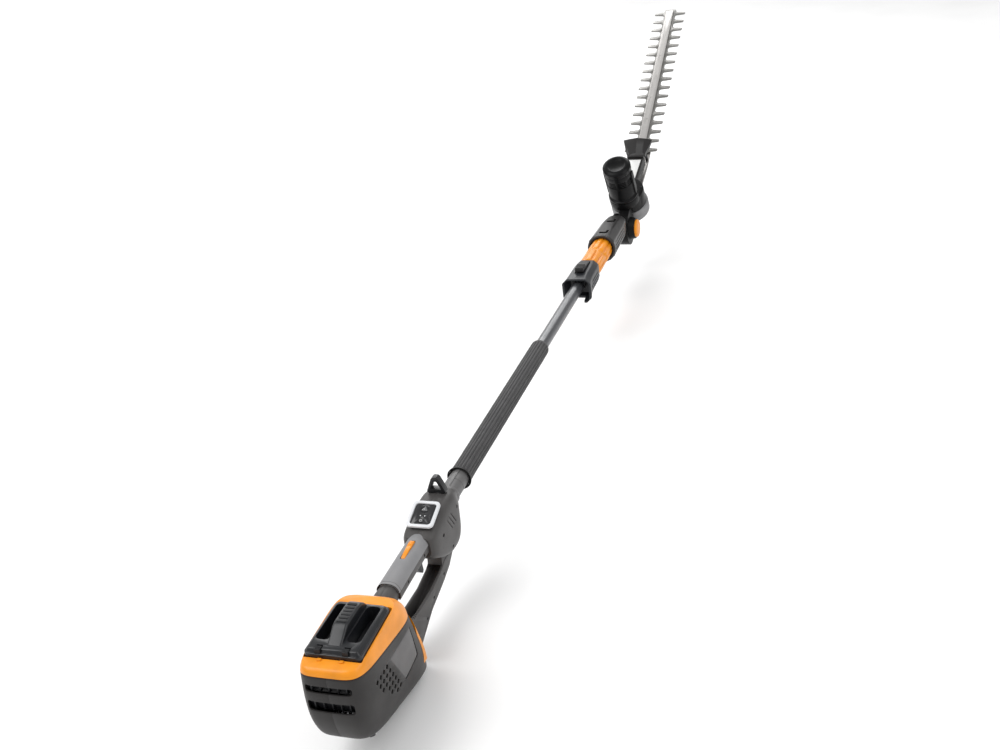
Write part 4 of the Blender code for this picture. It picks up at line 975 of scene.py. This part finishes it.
def grip():
    """Hard cores with a side band, under a soft skin with the lever's slot."""
    first, *between, last = GRIP_SECTIONS
    inner = grip_rings([(-0.08, *first[1:]), *between, (0.08, *last[1:])], 0.0003)
    smooth = smooth_through(np.array(GRIP_SECTIONS), 8)
    band = carve(grip_rings(smooth, 0.0026), inner.copy())
    for side, label in SIDES:
        name = "grip_core_" + label
        core = eased(from_node(name), 0.0005, 2, 40)
        # The core's side band, flush with the skin above it.
        low, high = sorted((side * 0.006, side * 0.03))
        where = block((low, -0.064, -0.0125), (high, 0.054, 0.0007))
        strip = carve(band.copy(), where, operation="INTERSECT")
        holes = joined(*side_holes(side, 0.0128, 0.022, CORE_SCREWS, 0.0026, 24))
        core = joined(carve(core, holes.copy()), eased(carve(strip, holes), 0.0005, 2))
        piece(core, name + "_shell", "handle_body", BLOCK_LOOK, name)
        side_screws("grip_screw", side, label, 0.0158, CORE_SCREWS, 0.0024)
    skin = carve(grip_rings(smooth, 0.0028), inner)
    plan = slab(rounded(0.0215, 0.0635, 0.0165, (0.0, -0.0025), 12), 0.001, 0.05)
    plan = carve(plan, block((-0.05, -0.2, -0.1), (0.05, -0.0655, 0.1)))
    square_end = block((-0.03, -0.066, 0.001), (0.03, -0.03, 0.05))
    keep = carve(plan, square_end, operation="UNION")
    skin = carve(skin, keep, operation="INTERSECT")
    slot = slab(rounded(0.0042, 0.0238, 0.0018, (0.0, 0.0193)), 0.004, 0.04)
    # A shallow moulded line round the skin, near its rear end.
    y, shape = -0.061, GRIP_SECTIONS[1][1:]
    line = grip_rings([(y, *shape), (y + 0.001, *shape)], 0.004)
    line = carve(line, grip_rings([(y - 0.001, *shape), (y + 0.002, *shape)], 0.0021))
    skin = eased(carve(skin, slot, line), 0.0006, 3, 40)
    piece(skin, "grip_skin", "handle_body", "grey_rubber", "grip_cover")


def lever_and_trigger():
    side = [
        (-0.0022, 0.0085), (-0.0022, 0.0142), (0.0, 0.016), (0.014, 0.018), (0.032, 0.0199),
        (0.038, 0.0192), (0.0408, 0.0166), (0.041, 0.0085),
    ]
    lever = eased(slab(side, -0.0036, 0.0036, "X"), 0.0011, 4, 35)
    ribs = []
    for k in range(4):
        y = 0.024 + 0.0034 * k
        ribs.append(block((-0.01, y, 0.0188), (0.01, y + 0.0012, 0.03)))
    lever = eased(carve(lever, joined(*ribs)), 0.0003, 2, 40)
    piece(lever, "lock_out_paddle", "lock_out_lever", "orange_plastic", "lock_out_lever")
    trigger = eased(from_node("trigger"), 0.0011, 3, 35)
    piece(trigger, "trigger_blade", "trigger", "black_plastic", "trigger")


GUARD_SCREWS = ((0.099, -0.085), (0.05, -0.095), (0.015, -0.109))


def guard():
    """The bow that closes the grip, ribbed under the hand, and its front root."""
    root = [(0.1, -0.07), (0.149, -0.0664), (0.148, -0.061)]
    root += [(0.12, -0.059), (0.103, -0.0535)]
    root = eased(slab(root, -0.0126, 0.0126, "X"), 0.0008, 2)
    piece(root, "hand_guard_root", "handle_body", BLOCK_LOOK)
    holes = [side_holes(side, 0.0118, 0.02, GUARD_SCREWS, 0.0025, 24) for side, _ in SIDES]
    ribs = []
    for k in range(6):
        y = -0.005 * k
        ribs.append(block((-0.0137, -0.004 + y, -0.0769), (0.0137, -0.002 + y, -0.07)))
    bow = carve(from_node("hand_guard"), joined(*holes[0], *holes[1]), joined(*ribs))
    bow = eased(bow, 0.0008, 3, 38)
    piece(bow, "hand_guard_bow", "handle_body", BLOCK_LOOK, "hand_guard")
    for side, label in SIDES:
        side_screws("guard_screw", side, label, 0.0126, GUARD_SCREWS, 0.0023)


BLOCK_LOOK = ("dark_plastic", moulded("block_plastic_look", (0.06, 0.057, 0.056), 0.44))
GLASS_LOOK = (
    "black_plastic",
    moulded("display_black_look", (0.009, 0.009, 0.011), 0.16, grain=0.05, wear=0.05, gloss=0.6),
)
SIGN_LOOK = (
    "label_film",
    moulded("display_sign_look", (0.74, 0.75, 0.76), 0.35, grain=0.1, wear=0.05),
)
LOOP_LOOK = (
    "black_plastic",
    moulded("harness_hook_look", (0.014, 0.014, 0.015), 0.38, grain=0.3, gloss=0.15),
)

control_block()
display()
harness_loop()
grip()
lever_and_trigger()
guard()


# Tube, sleeve, coupling and nut -----------------------------------------------------------

# Middle of the latch, (y, z).
LATCH_AT = (1.072, 0.0235)
SLEEVE_START = 0.246
SLEEVE_END = 0.729
SLEEVE_RIBS = 20
SOCKET_SCREW = (1.038, -0.006)
NUT_LOBES = 10


def ring_about_y(y, sides, radius_at):
    """A ring whose radius depends on the angle."""
    spokes = [(a, radius_at(a)) for a in around(sides)]
    return [(r * math.cos(a), y, r * math.sin(a)) for a, r in spokes]


def sleeve_ring(y, radius, ribbed):
    def radius_at(a):
        valley = 0.5 - 0.5 * math.cos(a * SLEEVE_RIBS)
        place = Vector((math.cos(a) * 2.0, y * 60.0, math.sin(a) * 2.0))
        uneven = 0.00018 * noise_at(place)
        return radius - 0.0017 * ribbed * valley ** 1.5 + uneven * ribbed

    return ring_about_y(y, SLEEVE_RIBS * 6, radius_at)


def sleeve():
    """Foam grip sleeve with raised ribs along it, hollow at the rear behind a flared black ring."""
    stations = [
        (SLEEVE_START + 0.0275, 0.0134, 0.0), (SLEEVE_START + 0.024, 0.0172, 0.0),
        (SLEEVE_START + 0.0034, 0.0174, 0.0), (SLEEVE_START + 0.003, 0.0178, 0.0),
        (SLEEVE_START + 0.003, 0.0181, 0.2), (SLEEVE_START + 0.004, 0.0186, 0.7),
        (SLEEVE_START + 0.008, 0.0188, 1.0), (SLEEVE_START + 0.025, 0.0186, 1.0),
    ]
    first, last, count = SLEEVE_START + 0.04, SLEEVE_END - 0.01, 60
    for k in range(count):
        stations.append((first + (last - first) * k / (count - 1), 0.0184, 1.0))
    stations += [
        (SLEEVE_END - 0.008, 0.0184, 0.6), (SLEEVE_END - 0.003, 0.0182, 0.0),
        (SLEEVE_END - 0.0006, 0.0174, 0.0), (SLEEVE_END, 0.0164, 0.0), (SLEEVE_END, 0.0134, 0.0),
    ]
    skin = rings_mesh([sleeve_ring(*station) for station in stations], closed=True)
    obj = piece(skin, "foam_grip_sleeve", "handle_body", "foam", "foam_sleeve")
    start = SLEEVE_START
    ring = [
        (start + 0.0012, 0.0186), (start, 0.02), (start, 0.0209), (start + 0.0006, 0.0213),
        (start + 0.0016, 0.0212), (start + 0.0066, 0.0189), (start + 0.0066, 0.0187),
        (start + 0.003, 0.0182),
    ]
    piece(turned(ring, "Y", sides=96), "sleeve_end_ring", "handle_body", RING_LOOK)


def collar():
    """Neck between block and sleeve: a stepped tube with a groove and a raised key."""
    profile = [
        (0.1866, 0.0133), (0.1866, 0.0181), (0.1872, 0.0186), (0.1955, 0.0186), (0.1966, 0.018),
        (0.1985, 0.0166), (0.201, 0.0162), (0.22, 0.0161), (0.2206, 0.0156), (0.2222, 0.0156),
        (0.2228, 0.0161), (0.246, 0.0158), (0.2655, 0.0154), (0.266, 0.015), (0.266, 0.0133),
    ]
    neck = turned(profile, "Y", sides=80)
    key = slab(rounded(0.0034, 0.029, 0.001, (0.0, 0.226)), 0.015, 0.017)
    neck = carve(neck, eased(key, 0.0006, 2), operation="UNION")
    piece(neck, "neck_tube_collar", "handle_body", NECK_LOOK, "neck_collar")


def pipe(start, end, inner, outer):
    """A drawn tube along Y with small chamfers at both ends."""
    edge = 0.0004
    profile = [(start, inner), (start, outer - edge), (start + edge, outer)]
    profile += [(end - edge, outer), (end, outer - edge), (end, inner)]
    return turned(profile, "Y", sides=96)


def tubes():
    look = "graphite_tube"
    lower = pipe(0.15, 1.07, 0.0115, 0.013)
    piece(lower, "lower_pole", "handle_body", look, "lower_tube")
    latch_hole = block((-0.0096, 1.0925, 0.01), (0.0096, 1.1025, 0.03))
    upper = carve(pipe(1.072, 1.36, 0.0145, 0.0165), latch_hole)
    piece(upper, "upper_pole", "upper_section", look, "upper_tube")


def octagon_ring(y, half, low, high, cut):
    """A box outline with its corners cut off."""
    right = [(half, low + cut), (half, high - cut), (half - cut, high)]
    left = [(-half + cut, high), (-half, high - cut), (-half, low + cut), (-half + cut, low)]
    return [(x, y, z) for x, z in [*right, *left, (half - cut, low)]]


def socket():
    """Coupling socket: flared rear, open below, with a pocket for the latch."""
    rings = [
        octagon_ring(1.01, 0.0325, -0.033, 0.0232, 0.012),
        octagon_ring(1.018, 0.0308, -0.0306, 0.023, 0.0112),
        octagon_ring(1.03, 0.0285, -0.028, 0.0232, 0.0105),
        octagon_ring(1.044, 0.0272, -0.0272, 0.0245, 0.01),
        octagon_ring(1.096, 0.0262, -0.0262, 0.0248, 0.0098),
        octagon_ring(1.116, 0.0244, -0.0245, 0.0232, 0.01),
    ]
    body = eased(rings_mesh(rings), 0.0022, 4, 20)
    mouth = []
    for y, scale in ((1.0, 1.18), (1.04, 0.8)):
        outline = rounded(0.025, 0.0215, 0.008, (0.0, -0.004), 8)
        mouth.append([(x * scale, y, z * scale) for x, z in outline])
    below = [(-0.017, -0.06), (0.017, -0.06), (0.013, -0.012), (-0.013, -0.012)]
    body = carve(
        body,
        rod(0.9, 1.0708, 0.0133),
        rod(1.07, 1.2, 0.0168),
        rings_mesh(mouth),
        slab(below, 0.99, 1.028, "Y"),
        slab(rounded(0.0098, 0.033, 0.0015, (0.0, 1.073)), 0.0185, 0.06),
        block((-0.0098, 1.0925, 0.012), (0.0098, 1.1025, 0.03)),
    )
    grooves = []
    for side, _ in SIDES:
        for k in range(3):
            outline = rounded(0.028, 0.0011, 0.001, (1.074, -0.012 + 0.0075 * k))
            grooves.append(slab(outline, side * 0.0252, side * 0.04, "X"))
        grooves += side_holes(side, 0.0262, 0.04, [SOCKET_SCREW], 0.003, 28)
    body = eased(carve(body, joined(*grooves)), 0.0005, 2, 45)
    piece(body, "coupling_socket_body", "handle_body", SOCKET_LOOK, "coupling_socket")
    for side, label in SIDES:
        at = (side * 0.0272, *SOCKET_SCREW)
        screw("socket_screw_" + label, "handle_body", at, (side, 0, 0), 0.0028)


def rocker_latch():
    """Rocking thumb latch with four grip ribs; its nose drops into the upper tube."""
    side = [(-0.029, 0.001), (-0.029, 0.0085)]
    for k in range(4):
        y = -0.0278 + 0.0062 * k
        side += [(y, 0.0118), (y + 0.0022, 0.0118), (y + 0.0034, 0.0076), (y + 0.005, 0.0076)]
    # Front arm, nose and belly; the arm starts where the last valley would end.
    side[-1:] = [(-0.004, 0.0078), (0.01, 0.006), (0.032, 0.004), (0.032, -0.003)]
    side += [(0.029, -0.0035), (0.028, -0.0058), (0.023, -0.0058), (0.022, -0.003)]
    side += [(0.004, -0.003), (0.0, -0.002), (-0.004, -0.0005)]
    latch = slab([(LATCH_AT[0] + y, LATCH_AT[1] + z) for y, z in side], -0.0092, 0.0092, "X")
    latch = eased(latch, 0.0005, 3, 25)
    name, body = "coupling_latch_rocker", "coupling_latch"
    piece(latch, name, body, LATCH_LOOK, body)


def nut_ring(y, scale, fluted):
    def radius_at(a):
        return 0.0255 * scale - 0.0034 * fluted * max(0.0, math.cos(a * NUT_LOBES)) ** 1.5

    return ring_about_y(y, NUT_LOBES * 14, radius_at)


def nut():
    """Clamping nut: two fluted grips with a waist between them."""
    start, end = 1.117, 1.245
    # Share of the length, share of the radius, depth of the flutes.
    stations = [
        (0.0, 0.885, 0.0), (0.012, 0.93, 0.1), (0.035, 0.965, 0.6), (0.07, 0.99, 1.0),
        (0.2, 1.0, 1.0), (0.38, 0.995, 1.0), (0.43, 0.975, 0.7), (0.455, 0.91, 0.1),
        (0.48, 0.88, 0.0), (0.505, 0.91, 0.1), (0.53, 0.975, 0.7), (0.57, 0.998, 1.0),
        (0.76, 0.99, 1.0), (0.93, 0.96, 0.9), (0.975, 0.93, 0.3), (1.0, 0.9, 0.0),
    ]
    rings = [nut_ring(start + (end - start) * share, *rest) for share, *rest in stations]
    body = carve(rings_mesh(rings), rod(1.0, 1.3, 0.0168, sides=80))
    piece(body, "clamp_nut", "twist_nut", "orange_plastic", "twist_nut")


def shaft_housing():
    """Faceted upper housing with a bell mouth round the nut."""
    sections = [
        (1.238, 0.03, 0.0125), (1.246, 0.0296, 0.0125), (1.348, 0.0276, 0.012),
        (1.374, 0.0252, 0.0115), (1.392, 0.0216, 0.0092),
    ]
    rings = [octagon_ring(y, half, -half, half, cut) for y, half, cut in sections]
    flare = [(1.235, 0), (1.235, 0.0318), (1.2362, 0.0326), (1.2395, 0.0326)]
    flare = turned([*flare, (1.244, 0.03), (1.244, 0)], sides=96)
    body = carve(eased(rings_mesh(rings), 0.0026, 4, 18), flare, operation="UNION")
    bell = [(1.2, 0), (1.2, 0.0292), (1.238, 0.0284), (1.2462, 0.0262), (1.2462, 0)]
    body = carve(body, rod(1.2, 1.361, 0.0168, sides=72), turned(bell, sides=96))
    cuts = []
    for y in (1.264, 1.338):
        cuts.append(slab(rounded(0.01, 0.005, 0.0015, (0.0, y)), 0.0225, 0.06))
        cuts.append(slab(rounded(0.0026, 0.0105, 0.0012, (0.0074, y + 0.006)), 0.0232, 0.06))
    for side, _ in SIDES:
        for z in (-0.0085, 0.0, 0.0085):
            rib = rounded(0.044, 0.001, 0.0009, (1.3, z))
            cuts.append(slab(rib, side * 0.0268, side * 0.04, "X"))
    body = eased(carve(body, *cuts), 0.0005, 2, 45)
    piece(body, "shaft_housing_body", "upper_section", SHAFT_LOOK, "shaft_housing")
    lining = [(1.2375, 0.0274), (1.2375, 0.0282), (1.2458, 0.026), (1.2458, 0.0252)]
    lining = turned(lining, sides=96)
    piece(lining, "bell_mouth_lining", "upper_section", "black_plastic")


LATCH_LOOK = ("black_plastic", moulded("latch_plastic_look", (0.015, 0.0145, 0.015), 0.36))
RING_LOOK = ("black_plastic", moulded("sleeve_ring_look", (0.006, 0.006, 0.006), 0.5))
NECK_LOOK = ("dark_plastic", moulded("neck_plastic_look", (0.115, 0.113, 0.113), 0.42))
SHAFT_LOOK = ("shaft_housing_plastic", moulded("shaft_plastic_look", (0.03, 0.029, 0.029), 0.34))
SOCKET_LOOK = ("dark_plastic", moulded("socket_plastic_look", (0.019, 0.0205, 0.024), 0.36))

sleeve()
collar()
tubes()
socket()
rocker_latch()
nut()
shaft_housing()


# Head, motor and blades, shaped in the head's own frame -------------------------------

MOTOR_AT = (HEAD_X, 0.056, 0.0)
MOTOR_R = 0.0325
CASE_AT = (HEAD_X, 0.08)


def head_piece(mesh, name, body, look, *stands_for):
    mesh.transform(HEAD_PLACE)
    return piece(mesh, name, body, look, *stands_for)


def head_node(name):
    """A CAD node's mesh brought back into the head's own frame."""
    mesh = from_node(name)
    mesh.transform(HEAD_PLACE.inverted())
    return mesh


def eased_head_node(node, name, body, look, width, segments=3):
    """A CAD node of the head with rounded edges and a finish of its own."""
    mesh = eased(head_node(node), width, segments, 30)
    head_piece(mesh, name, body, look, node)


def about_motor(mesh, degrees):
    turn = Matrix.Rotation(math.radians(degrees), 4, "Z")
    mesh.transform(Matrix.Translation(MOTOR_AT) @ turn)
    return mesh


def motor():
    r = MOTOR_R
    profile = [
        (0.0606, 0.024), (0.0606, 0.035), (0.0613, 0.0358), (0.0652, 0.0358), (0.0664, 0.0348),
        (0.067, 0.0332), (0.069, 0.0326), (0.07, 0.0318), (0.0716, 0.0318), (0.0726, 0.0326),
        (0.109, r), (0.1098, r - 0.001), (0.129, r - 0.001), (0.1298, r), (0.1451, r),
        (0.1451, r - 0.003), (0.064, r - 0.003), (0.064, 0.024),
    ]
    shell = turned(profile, "Z", MOTOR_AT, 96)
    slots = []
    for step in range(8):
        for level in range(4):
            outline = rounded(0.0098, 0.0013, 0.0012, (0.0, 0.1118 + 0.0049 * level), 3)
            slots.append(about_motor(slab(outline, r - 0.0062, r + 0.004, "X"), 22.5 + 45 * step))
    shell = carve(shell, joined(*slots))
    ribs = []
    for degrees in (-4, 176):
        rib = slab(rounded(0.0062, 0.0345, 0.0022, (0.0, 0.105)), r - 0.002, r + 0.003, "X")
        ribs.append(eased(about_motor(rib, degrees), 0.001, 3))
    shell = eased(carve(shell, *ribs, operation="UNION"), 0.0004, 2, 40)
    head_piece(shell, "motor_shell", "head", MOTOR_LOOK, "motor_housing")
    screen = [(0.106, 0.0289), (0.106, 0.0293), (0.132, 0.0293), (0.132, 0.0289)]
    screen = turned(screen, "Z", MOTOR_AT, 96)
    head_piece(screen, "motor_vent_screen", "head", "black_plastic")


def motor_cap():
    """Crowned cap with a dished top and sixteen grip notches."""
    r = MOTOR_R
    cap_profile = [
        (0.159, 0.0), (0.159, 0.0186), (0.1594, 0.0192), (0.1604, 0.02), (0.161, 0.0212),
        (0.161, 0.0262), (0.1604, 0.028), (0.1566, 0.033), (0.1556, 0.0337), (0.147, 0.0337),
        (0.146, 0.0334), (0.1453, 0.0326), (0.1453, r - 0.0022), (0.154, r - 0.0022), (0.154, 0.0),
    ]
    cap = turned(cap_profile, "Z", MOTOR_AT, 96)
    notches = []
    for k in range(16):
        notch = slab(rounded(0.0013, 0.005, 0.0011, (0.0, 0.15), 3), 0.0331, 0.036, "X")
        notches.append(about_motor(notch, 360 * k / 16))
    cap = carve(cap, joined(*notches))
    head_piece(cap, "motor_top_cap", "head", MOTOR_LOOK, "motor_cap")


def gearbox():
    eased_head_node("gearbox_upper", "gear_case_upper", "head", CASE_LOOK, 0.0016)
    eased_head_node("gearbox_lower", "gear_case_lower", "head", LOWER_CASE_LOOK, 0.0012)
    up = HEAD_TURN @ Vector((0, 0, 1))
    for k, degrees in enumerate((12, 60, 120, 168)):
        a = math.radians(degrees)
        x, y = CASE_AT[0] + 0.0376 * math.cos(a), CASE_AT[1] + 0.0376 * math.sin(a)
        at = HEAD_PLACE @ Vector((x, y, 0.0524))
        screw("gear_case_screw_%d" % (k + 1), "head", at, up, 0.0026)


def hinge():
    """Cheek and knuckle of the tilt joint, and the button that locks them."""
    eased_head_node("pivot_cheek", "hinge_cheek", "upper_section", CASE_LOOK, 0.0013)
    eased_head_node("pivot_knuckle", "hinge_knuckle", "head", KNUCKLE_LOOK, 0.0011)
    profile = [
        (0.0333, 0.0), (0.0333, 0.0206), (0.0339, 0.0213), (0.0372, 0.0213), (0.0388, 0.0204),
        (0.0395, 0.0186), (0.039, 0.0172), (0.0384, 0.0164), (0.0384, 0.0158), (0.0394, 0.014),
        (0.04, 0.009), (0.0402, 0.0),
    ]
    button = turned(profile, "X", sides=80)
    body = "head_lock_button"
    head_piece(button, "tilt_lock_button", body, "orange_plastic", body)


GUARD_NEAR = 0.214
GUARD_FAR = 0.258


def guard_ring(y, half_top, half_foot, low, high, peak):
    """Cross-section of the guard: sloping walls under a low gable."""
    bend = (half_top * 0.5, (high + peak) / 2 + 0.0006)
    right = [(half_foot, low), (half_top, high), bend, (0.0, peak)]
    left = [(-bend[0], bend[1]), (-half_top, high)]
    return [(HEAD_X + x, y, z) for x, z in [(-half_foot, low), *right, *left]]


def guard_and_neck():
    outer = [
        guard_ring(GUARD_NEAR, 0.0235, 0.0215, 0.023, 0.0352, 0.0372),
        guard_ring(GUARD_FAR, 0.0372, 0.033, 0.023, 0.0425, 0.05),
    ]
    hollow = [
        guard_ring(GUARD_NEAR + 0.003, 0.021, 0.0192, -0.02, 0.0325, 0.034),
        guard_ring(GUARD_FAR + 0.012, 0.0395, 0.0352, -0.02, 0.043, 0.05),
    ]
    shell = carve(eased(rings_mesh(outer), 0.0014, 3, 25), rings_mesh(hollow))
    # The CAD neck without its own guard, which the new one replaces.
    neck = eased(head_node("blade_guard"), 0.0012, 3, 30)
    front = block((-0.06, GUARD_NEAR + 0.0015, -0.01), (0.06, 0.3, 0.08))
    left_wing = block((-0.06, 0.204, -0.01), (HEAD_X - 0.0208, 0.3, 0.08))
    right_wing = block((HEAD_X + 0.0208, 0.204, -0.01), (0.06, 0.3, 0.08))
    shell = carve(shell, carve(neck, front, left_wing, right_wing), operation="UNION")
    head_piece(shell, "blade_guard_and_neck", "head", GUARD_LOOK, "blade_guard")
    eased_head_node("label_plate", "neck_label", "head", "label_film", 0.0002, 2)


BLADE_TIP = 0.801
BLADE_TEETH = 17
FIRST_TOOTH = 0.254
TOOTH_PITCH = 0.0326
YOKE_AT = (HEAD_X, 0.086)
BOLTS_Y = (0.32, 0.72)


def tooth_outline(shift, reach):
    """Strip with slender blunt teeth on both sides and a square tip."""
    start, half = 0.25, 0.015

    def side(direction):
        edge = [(0.0088, 0.113), (0.0088, start - 0.006), (half, start)]
        for k in range(BLADE_TEETH):
            y = FIRST_TOOTH + shift + TOOTH_PITCH * k
            edge += [
                (half, y + 0.0008), (half + 0.004, y + 0.0046), (reach - 0.0016, y + 0.0072),
                (reach, y + 0.0082), (reach, y + 0.0112), (reach - 0.0016, y + 0.0124),
                (half + 0.004, y + 0.0152), (half, y + 0.019),
            ]
        edge += [(half, BLADE_TIP - 0.0012), (half - 0.003, BLADE_TIP)]
        return [(direction * x + HEAD_X, y) for x, y in edge]

    return side(1) + side(-1)[::-1]


def blades():
    """Two toothed blades that slide over each other under a backing bar."""
    rows = (
        ("upper_blade", "cutting_blade_upper", -0.001, 0.0012, -0.003),
        ("lower_blade", "cutting_blade_lower", -0.0036, -0.0014, 0.003),
    )
    for body, name, low, high, shift in rows:
        blade = slab(tooth_outline(shift, 0.0418), low, high)
        ring = slab(disc(0.0295, YOKE_AT, 80), low, high)
        yoke = slab(disc(0.0248, YOKE_AT, 72), -0.01, 0.01)
        blade = carve(carve(blade, ring, operation="UNION"), yoke)
        for y in BOLTS_Y:
            blade = carve(blade, slab(rounded(0.003, 0.012, 0.0029, (HEAD_X, y)), -0.01, 0.01))
        head_piece(eased(blade, 0.0006, 2, 40), name, body, BLADE_LOOK, body)
    bar = slab(rounded(0.01, 0.3345, 0.0012, (HEAD_X, 0.4575)), 0.0016, 0.006)
    bar = eased(bar, 0.001, 3, 40)
    for y in BOLTS_Y:
        bar = carve(bar, slab(disc(0.0028, (HEAD_X, y), 32), 0.0, 0.0051))
    dents = [rounded(0.003, 0.011, 0.0029, (HEAD_X, 0.36 + 0.08 * k)) for k in range(5)]
    bar = carve(bar, joined(*[slab(dent, 0.0056, 0.008) for dent in dents]))
    head_piece(bar, "blade_backing_bar", "head", BAR_LOOK, "blade_bar")
    eased_head_node("blade_root_plate", "blade_root_strip", "head", BAR_LOOK, 0.0007, 2)



MOTOR_LOOK = (
    "black_plastic",
    moulded("motor_plastic_look", (0.004, 0.004, 0.0044), 0.34, wear=0.08, shine=0.14),
)
CASE_LOOK = (
    "dark_plastic",
    moulded("gear_case_look", (0.0045, 0.0045, 0.0048), 0.38, wear=0.08, shine=0.14),
)
KNUCKLE_LOOK = ("black_plastic", CASE_LOOK[1])
LOWER_CASE_LOOK = ("light_metal", cast_metal("lower_case_look", (0.26, 0.26, 0.265), 0.46))
GUARD_LOOK = ("dark_plastic", moulded("guard_plastic_look", (0.0155, 0.0145, 0.0145), 0.48))
BLADE_LOOK = (
    "bright_steel",
    brushed("blade_steel_look", (0.25, 0.245, 0.235), 0.36, (TILT, 0, 0), 0.3),
)
BAR_LOOK = ("bright_steel", brushed("bar_steel_look", (0.54, 0.525, 0.51), 0.32, (TILT, 0, 0), 0.3))

motor()
motor_cap()
gearbox()
hinge()
guard_and_neck()
blades()


# Floor, lights and camera -----------------------------------------------------------------


WORLD_STRENGTH = 0.62
FLOOR_HALF = 40.0
FLOOR_GAP = 0.002


def backdrop():
    """A pale flat floor below the object, wide enough to fill the view."""
    g = Graph("floor_look")
    tone = g.patches(3.0, 4, 0.3, 0.7)
    paint = g.mix(tone, (0.9, 0.9, 0.9), (0.94, 0.94, 0.94))
    rough = g.patches(7.0, 4, 0.3, 0.7, 0.55, 0.75)
    normal = g.bump(g.noise(420, 2), 0.05, 0.0002)
    material = g.finish(paint, rough, normal)
    low, half = cad_box[0].z - FLOOR_GAP, FLOOR_HALF
    mesh = bpy.data.meshes.new("floor")
    corners = [(-half, -half, low), (half, -half, low), (half, half, low), (-half, half, low)]
    mesh.from_pydata(corners, [], [(0, 1, 2, 3)])
    mesh.materials.append(material)
    floor = bpy.data.objects.new("floor", mesh)
    bpy.context.scene.collection.objects.link(floor)


def soft_light(name, place, target, size, watts):
    data = bpy.data.lights.new(name, "AREA")
    data.shape = "RECTANGLE"
    data.size, data.size_y = size
    data.energy = watts
    light = bpy.data.objects.new(name, data)
    light.location = place
    light.rotation_mode = "QUATERNION"
    light.rotation_quaternion = (Vector(target) - Vector(place)).to_track_quat("-Z", "Y")
    bpy.context.scene.collection.objects.link(light)


def studio():
    world = bpy.data.worlds.new("studio")
    world.use_nodes = True
    back = world.node_tree.nodes["Background"]
    back.inputs["Color"].default_value = (1.0, 1.0, 1.0, 1.0)
    back.inputs["Strength"].default_value = WORLD_STRENGTH
    bpy.context.scene.world = world
    soft_light("key", (-1.6, -0.6, 2.6), (0.0, 0.5, 0.0), (2.0, 2.6), 62)
    soft_light("fill", (2.2, 0.2, 1.8), (0.0, 0.6, 0.0), (1.6, 2.6), 26)
    soft_light("rim", (-0.4, 3.6, 1.8), (0.0, 0.9, 0.0), (2.4, 1.2), 30)
    soft_light("back_floor", (-3.6, 5.2, 2.6), (-3.6, 5.0, 0.0), (4.0, 4.0), 120)


# Place and axes of the camera, worked out from the perspective of the photo.
CAMERA_PLACE = (0.7571, -1.4226, 1.0986)
CAMERA_RIGHT = (0.9441, 0.304, -0.1273)
CAMERA_UP = (-0.0307, 0.4657, 0.8844)
CAMERA_BACK = (0.3281, -0.8311, 0.449)

CAMERA_LENS = 46.26
FAR_LIMIT = 40.0


def camera():
    data = bpy.data.cameras.new("camera")
    data.lens = CAMERA_LENS
    data.sensor_width = 36.0
    data.clip_start = 0.05
    data.clip_end = FAR_LIMIT
    eye = bpy.data.objects.new("camera", data)
    axes = Matrix((CAMERA_RIGHT, CAMERA_UP, CAMERA_BACK)).transposed()
    eye.matrix_world = Matrix.Translation(CAMERA_PLACE) @ axes.to_4x4()
    bpy.context.scene.collection.objects.link(eye)
    bpy.context.scene.camera = eye


backdrop()
studio()
camera()
bpy.context.scene.view_settings.view_transform = "Standard"
